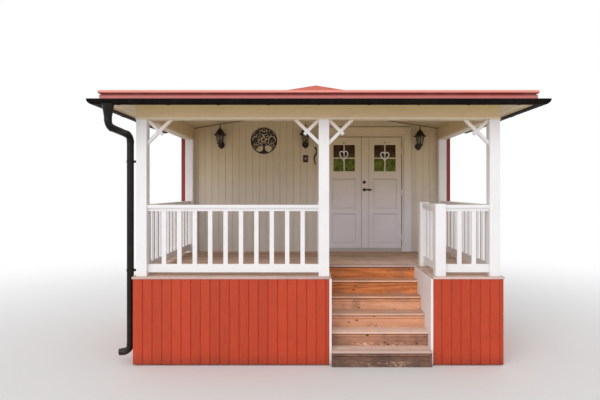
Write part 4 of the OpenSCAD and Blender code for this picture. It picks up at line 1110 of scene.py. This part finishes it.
class PORCH_OT_timber(bpy.types.Operator):
    """Round the edges of the posts, beams, braces and railings"""

    bl_idname = "porch.timber"
    bl_label = "Posts and railings"

    def execute(self, context):
        for node, material in (("roof_posts", "post"), ("newel_posts", "post"), ("roof_beams", "beam")):
            dress(node, material)
        dress("corner_braces", "brace", width=0.002)
        for part in ("front", "side", "stair"):
            dress("railings_" + part, "rail", width=0.002)
        return {"FINISHED"}


class PORCH_OT_ceiling(bpy.types.Operator):
    """Cut the ceiling under each roof slope into boards along its eave"""

    bl_idname = "porch.ceiling"
    bl_label = "Ceiling"

    def execute(self, context):
        sizes = context.scene.porch_sizes
        low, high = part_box("ceiling")
        rows = self.cuts(sizes, self.is_front, 1, low.y, 1, high.y - low.y)
        board("ceiling", "ceiling_front", "ceiling", rows, seed=31, wanted=self.is_front)
        for side, sign in (("left", -1), ("right", 1)):
            def is_side(a, b, sign=sign):
                return not self.is_front(a, b) and (a.x + b.x) * sign > 0
            rows = self.cuts(sizes, is_side, 0, high.x * sign, -sign, high.x)
            board("ceiling", "ceiling_" + side, "ceiling_side", rows, seed=37, wanted=is_side,
                  replaces=False)
        return {"FINISHED"}

    def is_front(self, low, high):
        """Whether a solid of the ceiling is the one under the front slope of the roof."""
        return high.x - low.x > SLOPE_WIDE

    def cuts(self, sizes, wanted, axis, eave, way, run):
        """Joints of one slope, which follow its lower face from the eave inwards along an axis."""
        mesh = clean_mesh("ceiling", "probe", wanted)
        face = max((p for p in mesh.polygons if p.normal.z < -0.5), key=lambda p: p.area)
        lean = -face.normal[axis] / face.normal.z
        corner = mesh.vertices[face.vertices[0]].co.copy()
        bpy.data.meshes.remove(mesh)
        pitch = sizes.ceiling_board * way
        start = [0, 0, corner.z + lean * (eave + pitch - corner[axis])]
        start[axis] = eave + pitch
        step = [0, 0, pitch * lean]
        step[axis] = pitch
        cutter = [CUT_LONG, SIDE_CUT_LONG, 2 * sizes.joint_depth]
        cutter[axis] = sizes.joint
        return [(start, step, math.ceil(run / sizes.ceiling_board), cutter)]


class PORCH_OT_wall(bpy.types.Operator):
    """Board both faces of the house wall and hang the sign and the hook on it"""

    bl_idname = "porch.wall"
    bl_label = "House wall"

    def execute(self, context):
        sizes = context.scene.porch_sizes
        pitch = sizes.wall_board
        low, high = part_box("wall_left")
        count = math.ceil((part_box("wall_right")[1].x - low.x) / pitch)
        cutter = (sizes.joint, 2 * sizes.joint_depth, high.z - low.z + WALL_CUT_PAST)
        rows = [((low.x + pitch / 2, y, (low.z + high.z) / 2), (pitch, 0, 0), count, cutter)
                for y in (low.y, high.y)]
        for node in ("wall_left", "wall_over_door", "wall_right"):
            board(node, node + "_boards", "wall", rows, seed=41)
        dress("door_frame", "door", width=0.0015)
        dress("door_casing", "door")
        dress("threshold", "sill", width=0.002)
        self.sign(low.y)
        self.wavy_hook(sizes.hook_iron, low.y)
        self.painted_shadow_strips(sizes.shadow_strip_width, low.y)
        return {"FINISHED"}

    def sign(self, wall_y):
        """A small dark sign with a mauve field beside the door."""
        x, z = SIGN_PLACE
        for name, share, out, material in SIGN_LAYERS:
            half_x, half_z = (size / 2 * share for size in SIGN_SIZE)
            bm = bmesh.new()
            box_mesh(bm, (x - half_x, wall_y - out, z - half_z), (x + half_x, wall_y, z + half_z))
            add(name, bm, material, width=SIGN_EDGE)

    def wavy_hook(self, thick, wall_y):
        """A hand-forged iron hook that winds down the wall and thins towards its foot."""
        bends = [Vector((x, wall_y - thick * HOOK_OUT, z)) for x, z in HOOK_BENDS]
        stretches = zip([bends[0]] + bends, bends, bends[1:], bends[2:] + [bends[-1]])
        path = [curve_point(*four, i / HOOK_STEPS) for four in stretches for i in range(HOOK_STEPS)]
        bm = bmesh.new()
        sweep(bm, path + [bends[-1]], thick / 2, sides=8, flat=HOOK_FLAT, thin_end=HOOK_END)
        add("wall_hook", bm, "iron", smooth=True)

    def painted_shadow_strips(self, wide, wall_y):
        """Painted shadow strips over the casing, beside it, round the doorway and under the ceiling."""
        front = wall_y - SHADOW_STRIP_DEEP
        low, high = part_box("door_casing")
        left, right = (corner.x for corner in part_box("threshold"))
        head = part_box("door_leaf_right")[1].z + DOOR_GAP
        foot = low.z + SHADOW_STRIP_FOOT
        bm = bmesh.new()
        for x0, x1, z0, z1 in ((low.x, high.x + wide / 2, high.z, high.z + wide),
                               (high.x, high.x + wide / 2, low.z, high.z),
                               (left - wide / 2, left, foot, head), (right, right + wide / 2, foot, head),
                               (left - wide / 2, right + wide / 2, head, head + wide / 2)):
            box_mesh(bm, (x0, front, z0), (x1, wall_y, z1))
        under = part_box("ceiling")[1].z - CEILING_BOARD
        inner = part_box("railings_front")[1].x
        for side in (-1, 1):
            ends = ((0, under), (side * inner, under - inner * ROOF_SLOPE))
            six_faces(bm, [(x, y, z - down) for x, z in ends for y in (front, wall_y) for down in (0, wide)])
        add("painted_shadow_strips", bm, "seal_and_shadow")


class PORCH_OT_roof(bpy.types.Operator):
    """Finish the roof sheets, flashings, boards and rafters"""

    bl_idname = "porch.roof"
    bl_label = "Roof"

    def execute(self, context):
        dress("roof_sheets", "sheet", width=0.001)
        dress("eave_flashing", "flashing", width=0.0008)
        dress("wall_flashing", "sheet", width=0.001)
        dress("fascia_boards", "beam", width=0.002)
        dress("roof_boards", "timber", width=0.001)
        dress("rafters", "timber_y", width=0.002)
        return {"FINISHED"}


class PORCH_OT_gutters(bpy.types.Operator):
    """Give the gutters, brackets, downpipe and clamps their black coat"""

    bl_idname = "porch.gutters"
    bl_label = "Gutters and downpipe"

    def execute(self, context):
        for node in ("gutter_front", "gutter_left", "gutter_right", "gutter_brackets", "downpipe", "pipe_clamps"):
            dress(node, "pipe" if "pipe" in node else "black", width=0, smooth=True)
        return {"FINISHED"}


class PORCH_OT_doors(bpy.types.Operator):
    """Finish the door leaves, with glazing bars, mouldings, handle, seals and hearts"""

    bl_idname = "porch.doors"
    bl_label = "Doors"

    def execute(self, context):
        sizes = context.scene.porch_sizes
        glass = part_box("door_glass_left")
        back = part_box("door_leaf_left")[1].y
        front = glass[0].y + glass[1].y - back
        for side, body in DOORS.items():
            dress("door_leaf_" + side, "door", body, width=0.002)
            self.glaze(sizes, side, body, front, back)
            self.mouldings(sizes.panel_bead, side, body, front, back)
            self.heart(sizes.heart_rod, side, body, front)
            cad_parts["door_glass_" + side].data.materials[0] = MATERIALS["glass"]
        self.seals(sizes.seal, front)
        dress("door_handle", "iron", DOORS["right"], width=0, smooth=True)
        self.grip()
        return {"FINISHED"}

    def glaze(self, sizes, side, body, front, back):
        """Bars that part the pane in four, and a bead round it, on both faces."""
        low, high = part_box("door_glass_" + side)
        mid_x = (low.x + high.x) / 2
        mid_z = (low.z + high.z) / 2
        half = sizes.glazing_bar / 2
        bead = sizes.bead
        bm = bmesh.new()
        for a, b in ((front + BAR_BACK, low.y), (high.y, back - BAR_BACK)):
            box_mesh(bm, (mid_x - half, a, low.z), (mid_x + half, b, high.z))
            for x0, x1 in ((low.x, mid_x - half), (mid_x + half, high.x)):
                box_mesh(bm, (x0, a + BAR_STEP, mid_z - half), (x1, b, mid_z + half))
            frame_ring(bm, (low.x, low.z), (high.x, high.z), ((0, a - BEAD_PROUD), (bead, a), (bead, b), (0, b)))
        add("glazing_bars_" + side, bm, "door", body, width=0.001)

    def mouldings(self, wide, side, body, front, back):
        """A moulding round each sunk panel, on both faces of the leaf."""
        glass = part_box("door_glass_" + side)
        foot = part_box("door_leaf_left")[0].z
        middle = (glass[0].x + glass[1].x) / 2
        profile = (*MOULDING, (wide, PANEL_DEPTH - SKIN), (SKIN, PANEL_DEPTH - SKIN))
        bm = bmesh.new()
        for low_z, high_z in PANEL_SPANS:
            for face, way in ((front, 1), (back, -1)):
                frame_ring(bm, (middle - PANEL_HALF, foot + low_z), (middle + PANEL_HALF, foot + high_z),
                           [(inward, face + way * depth) for inward, depth in profile])
        add("panel_mouldings_" + side, bm, "door", body)

    def heart(self, rod, side, body, front):
        """A heart hung before the panes on a thin ribbon from a small hook."""
        x, top, foot, wide = HEARTS[side]
        y = front - rod * HEART_OUT
        points = []
        for t in ring_angles(HEART_POINTS):
            across = math.sin(t) ** 3
            up = (13 * math.cos(t) - 5 * math.cos(2 * t) - 2 * math.cos(3 * t) - math.cos(4 * t) + 2.5) / 29
            points.append(Vector((x, y, (top + foot) / 2))
                          + Vector((across * (wide - rod) / 2, 0, up * (top - foot - rod))))
        hook = Vector((x, y, HEART_HOOK_Z))
        bm = bmesh.new()
        sweep(bm, points, rod / 2, sides=8, closed=True, flat=HEART_FLAT)
        sweep(bm, [points[0], (points[0] + hook) / 2, hook], RIBBON_R)
        add("heart_" + side, bm, "post", body, smooth=True)
        bend = [hook + Vector((HEART_HOOK_R * math.sin(a), RIBBON_R, HEART_HOOK_R + HEART_HOOK_R * math.cos(a)))
                for a in (math.radians(d) for d in range(-150, 151, 30))]
        bm = bmesh.new()
        sweep(bm, bend, HEART_WIRE_R)
        add("heart_hook_" + side, bm, "brown", body, smooth=True)

    def seals(self, thick, front):
        """Rubber seals between the doors and round them, whose dark brown also stands in for the shade in the
        gaps, and a painted shadow strip beside the cover strip.
        """
        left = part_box("door_leaf_left")[1]
        low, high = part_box("door_leaf_right")
        jambs = [corner.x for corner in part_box("threshold")]
        head = high.z + DOOR_GAP
        strip = low.x + COVER_STRIP
        leaf = (low.z + SEAL_CLEAR, high.z - SEAL_CLEAR)
        deep = (front + SEAL_IN, front + SEAL_IN + SEAL_DEEP)
        # The seals' dark brown also stands in for the shade in the door gaps
        for name, body, (y0, y1), spans in (
                ("door_seal_left", DOORS["left"], deep, [(left.x, left.x + thick, *leaf)]),
                ("door_seal_right", DOORS["right"], deep, [(low.x - thick, low.x, *leaf)]),
                ("frame_seal", PORCH, deep, [(jambs[0], jambs[0] + thick, low.z, high.z),
                                             (jambs[1] - thick, jambs[1], low.z, high.z),
                                             (*jambs, head - thick, head)]),
                # A dark strip beside the cover strip: painted shadow
                ("cover_strip_shadow", DOORS["right"], (front - STRIP_SHADOW_DEEP, front),
                 [(strip, strip + STRIP_SHADOW_WIDE, low.z + STRIP_SHADOW_CLEAR, high.z - STRIP_SHADOW_CLEAR)]),
        ):
            bm = bmesh.new()
            for x0, x1, z0, z1 in spans:
                box_mesh(bm, (x0, y0, z0), (x1, y1, z1))
            add(name, bm, "seal_and_shadow", body)

    def grip(self):
        """The thick waisted grip on the lever."""
        low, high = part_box("door_handle")
        end = Vector((high.x, low.y + LEVER_OUT, low.z + LEVER_ROSE))
        bm = bmesh.new()
        rings = [[bm.verts.new(end + Vector((-back, radius * GRIP_FLAT * math.cos(a), radius * math.sin(a))))
                  for a in ring_angles(ROUND_SIDES)] for back, radius in GRIP_PROFILE]
        bridge(bm, rings)
        bm.faces.new(rings[0])
        bm.faces.new(list(reversed(rings[-1])))
        add("lever_grip", bm, "brown", DOORS["right"], smooth=True)


class PORCH_OT_ironwork(bpy.types.Operator):
    """Finish the disc on the wall and the lanterns, with their panes and bulbs"""

    bl_idname = "porch.ironwork"
    bl_label = "Lanterns and ironwork"

    def execute(self, context):
        dress("wall_lanterns", "brown", width=0, smooth=True)
        dress("wall_disc", "iron", width=0, smooth=True)
        panes = bmesh.new()
        bulbs = bmesh.new()
        for low, high in solid_boxes("wall_lanterns"):
            place = Vector(((low.x + high.x) / 2, low.y + LANTERN_R, high.z - LANTERN_TIP))
            self.panes(panes, place)
            lathe(bulbs, place, BULB_PROFILE)
        add("lantern_panes", panes, "clear")
        add("lantern_bulbs", bulbs, "post", smooth=True)
        return {"FINISHED"}

    def panes(self, bm, place):
        """Thin panes between the ribs of the cage, just clear of them."""
        for side in range(PANE_SIDES):
            ends = [math.radians(30 + 360 / PANE_SIDES * (side + share)) for share in (0.06, 0.94)]
            six_faces(bm, [place + Vector(((r + out) * math.cos(a), (r + out) * math.sin(a), z))
                           for out in (0.0, PANE_THICK) for a in ends for r, z in (PANE_FOOT, PANE_HEAD)])


class PORCH_OT_stage(bpy.types.Operator):
    """Set the pale floor, the soft lights and the camera"""

    bl_idname = "porch.stage"
    bl_label = "Stage"

    def execute(self, context):
        self.floor()
        self.lights(context.scene)
        self.camera(context.scene)
        return {"FINISHED"}

    def floor(self):
        """A pale floor that fades into the white background."""
        bm = bmesh.new()
        far = FLOOR_HALF
        corners = ((-far, -far, 0), (far, -far, 0), (far, far, 0), (-far, far, 0))
        bm.faces.new([bm.verts.new(corner) for corner in corners])
        piece = new_piece("stage_floor", mesh_from(bm, "stage_floor", recalc=False))
        m = Material("stage_floor")
        m.fill(m.shader, {"Base Color": colour(*FLOOR_GREY), "Roughness": 0.9})
        white = m.put("ShaderNodeEmission", {"Color": (1, 1, 1, 1), "Strength": 1.0})
        seen = m.node("ShaderNodeLightPath").outputs["Is Camera Ray"]
        mask = m.times(m.ramp(m.vectors("LENGTH", m.place), *FLOOR_FADE), seen)
        mixed = m.put("ShaderNodeMixShader", {0: mask, 1: m.shader.outputs[0], 2: white})
        m.fill(m.tree.nodes["Material Output"], {"Surface": mixed})
        piece.data.materials.append(m.made)

    def lights(self, scene):
        """An even sky, white where the camera sees it, and a soft sun."""
        world = bpy.data.worlds.new("soft_sky")
        world.use_nodes = True
        nodes = Nodes(world.node_tree)
        path = nodes.node("ShaderNodeLightPath").outputs
        glassy = nodes.maths("MAXIMUM", path["Is Glossy Ray"], path["Is Transmission Ray"])
        seen = nodes.maths("MAXIMUM", path["Is Camera Ray"], glassy)
        nodes.fill(world.node_tree.nodes["Background"],
                   {"Color": (1, 1, 1, 1), "Strength": nodes.maths("MULTIPLY_ADD", seen, 1.0 - SKY, SKY)})
        scene.world = world
        sun = bpy.data.lights.new("sun", "SUN")
        sun.energy = SUN
        sun.angle = math.radians(SUN_SOFT)
        holder = bpy.data.objects.new("sun", sun)
        holder.rotation_euler = [math.radians(turn) for turn in SUN_TURN]
        scene.collection.objects.link(holder)

    def camera(self, scene):
        """The photo's camera, whose picture is shifted because it looked level."""
        camera = bpy.data.cameras.new("camera")
        camera.lens = CAMERA_FOCAL_PX / IMAGE_WIDTH_PX * camera.sensor_width
        camera.shift_x = (IMAGE_WIDTH_PX / 2 - VANISHING_PX[0]) / IMAGE_WIDTH_PX
        camera.shift_y = (VANISHING_PX[1] - IMAGE_HEIGHT_PX / 2) / IMAGE_WIDTH_PX
        camera.clip_end = CAMERA_REACH
        holder = bpy.data.objects.new("camera", camera)
        holder.location = CAMERA_PLACE
        holder.rotation_euler = (math.radians(90), 0, 0)
        scene.collection.objects.link(holder)
        scene.camera = holder


PIECE_OPERATORS = (
    PORCH_OT_materials,
    PORCH_OT_base,
    PORCH_OT_skirts,
    PORCH_OT_floor,
    PORCH_OT_stairs,
    PORCH_OT_timber,
    PORCH_OT_ceiling,
    PORCH_OT_wall,
    PORCH_OT_roof,
    PORCH_OT_gutters,
    PORCH_OT_doors,
    PORCH_OT_ironwork,
    PORCH_OT_stage,
)


class PORCH_PT_panel(bpy.types.Panel):
    """Lists the porch's steps, sizes and colours"""

    bl_idname = "PORCH_PT_panel"
    bl_label = "Porch"
    bl_space_type = "VIEW_3D"
    bl_region_type = "UI"
    bl_category = "Porch"

    def draw(self, context):
        for operator in PIECE_OPERATORS:
            self.layout.operator(operator.bl_idname)
        for group in (context.scene.porch_sizes, context.scene.porch_colours):
            for name in group.bl_rna.properties.keys():
                if name not in ("rna_type", "name"):
                    self.layout.prop(group, name)


CLASSES = (PorchSizes, PorchColours, *PIECE_OPERATORS, PORCH_PT_panel)


def register():
    for cls in CLASSES:
        bpy.utils.register_class(cls)
    bpy.types.Scene.porch_sizes = bpy.props.PointerProperty(type=PorchSizes)
    bpy.types.Scene.porch_colours = bpy.props.PointerProperty(type=PorchColours)


def unregister():
    del bpy.types.Scene.porch_colours
    del bpy.types.Scene.porch_sizes
    for cls in reversed(CLASSES):
        bpy.utils.unregister_class(cls)


def main():
    register()
    bpy.context.scene.view_settings.view_transform = "Standard"
    porch = bpy.ops.porch
    for make in (porch.materials, porch.base, porch.skirts, porch.floor, porch.stairs, porch.timber,
                 porch.ceiling, porch.wall, porch.roof, porch.gutters, porch.doors, porch.ironwork, porch.stage):
        make()


if __name__ == "__main__":
    main()
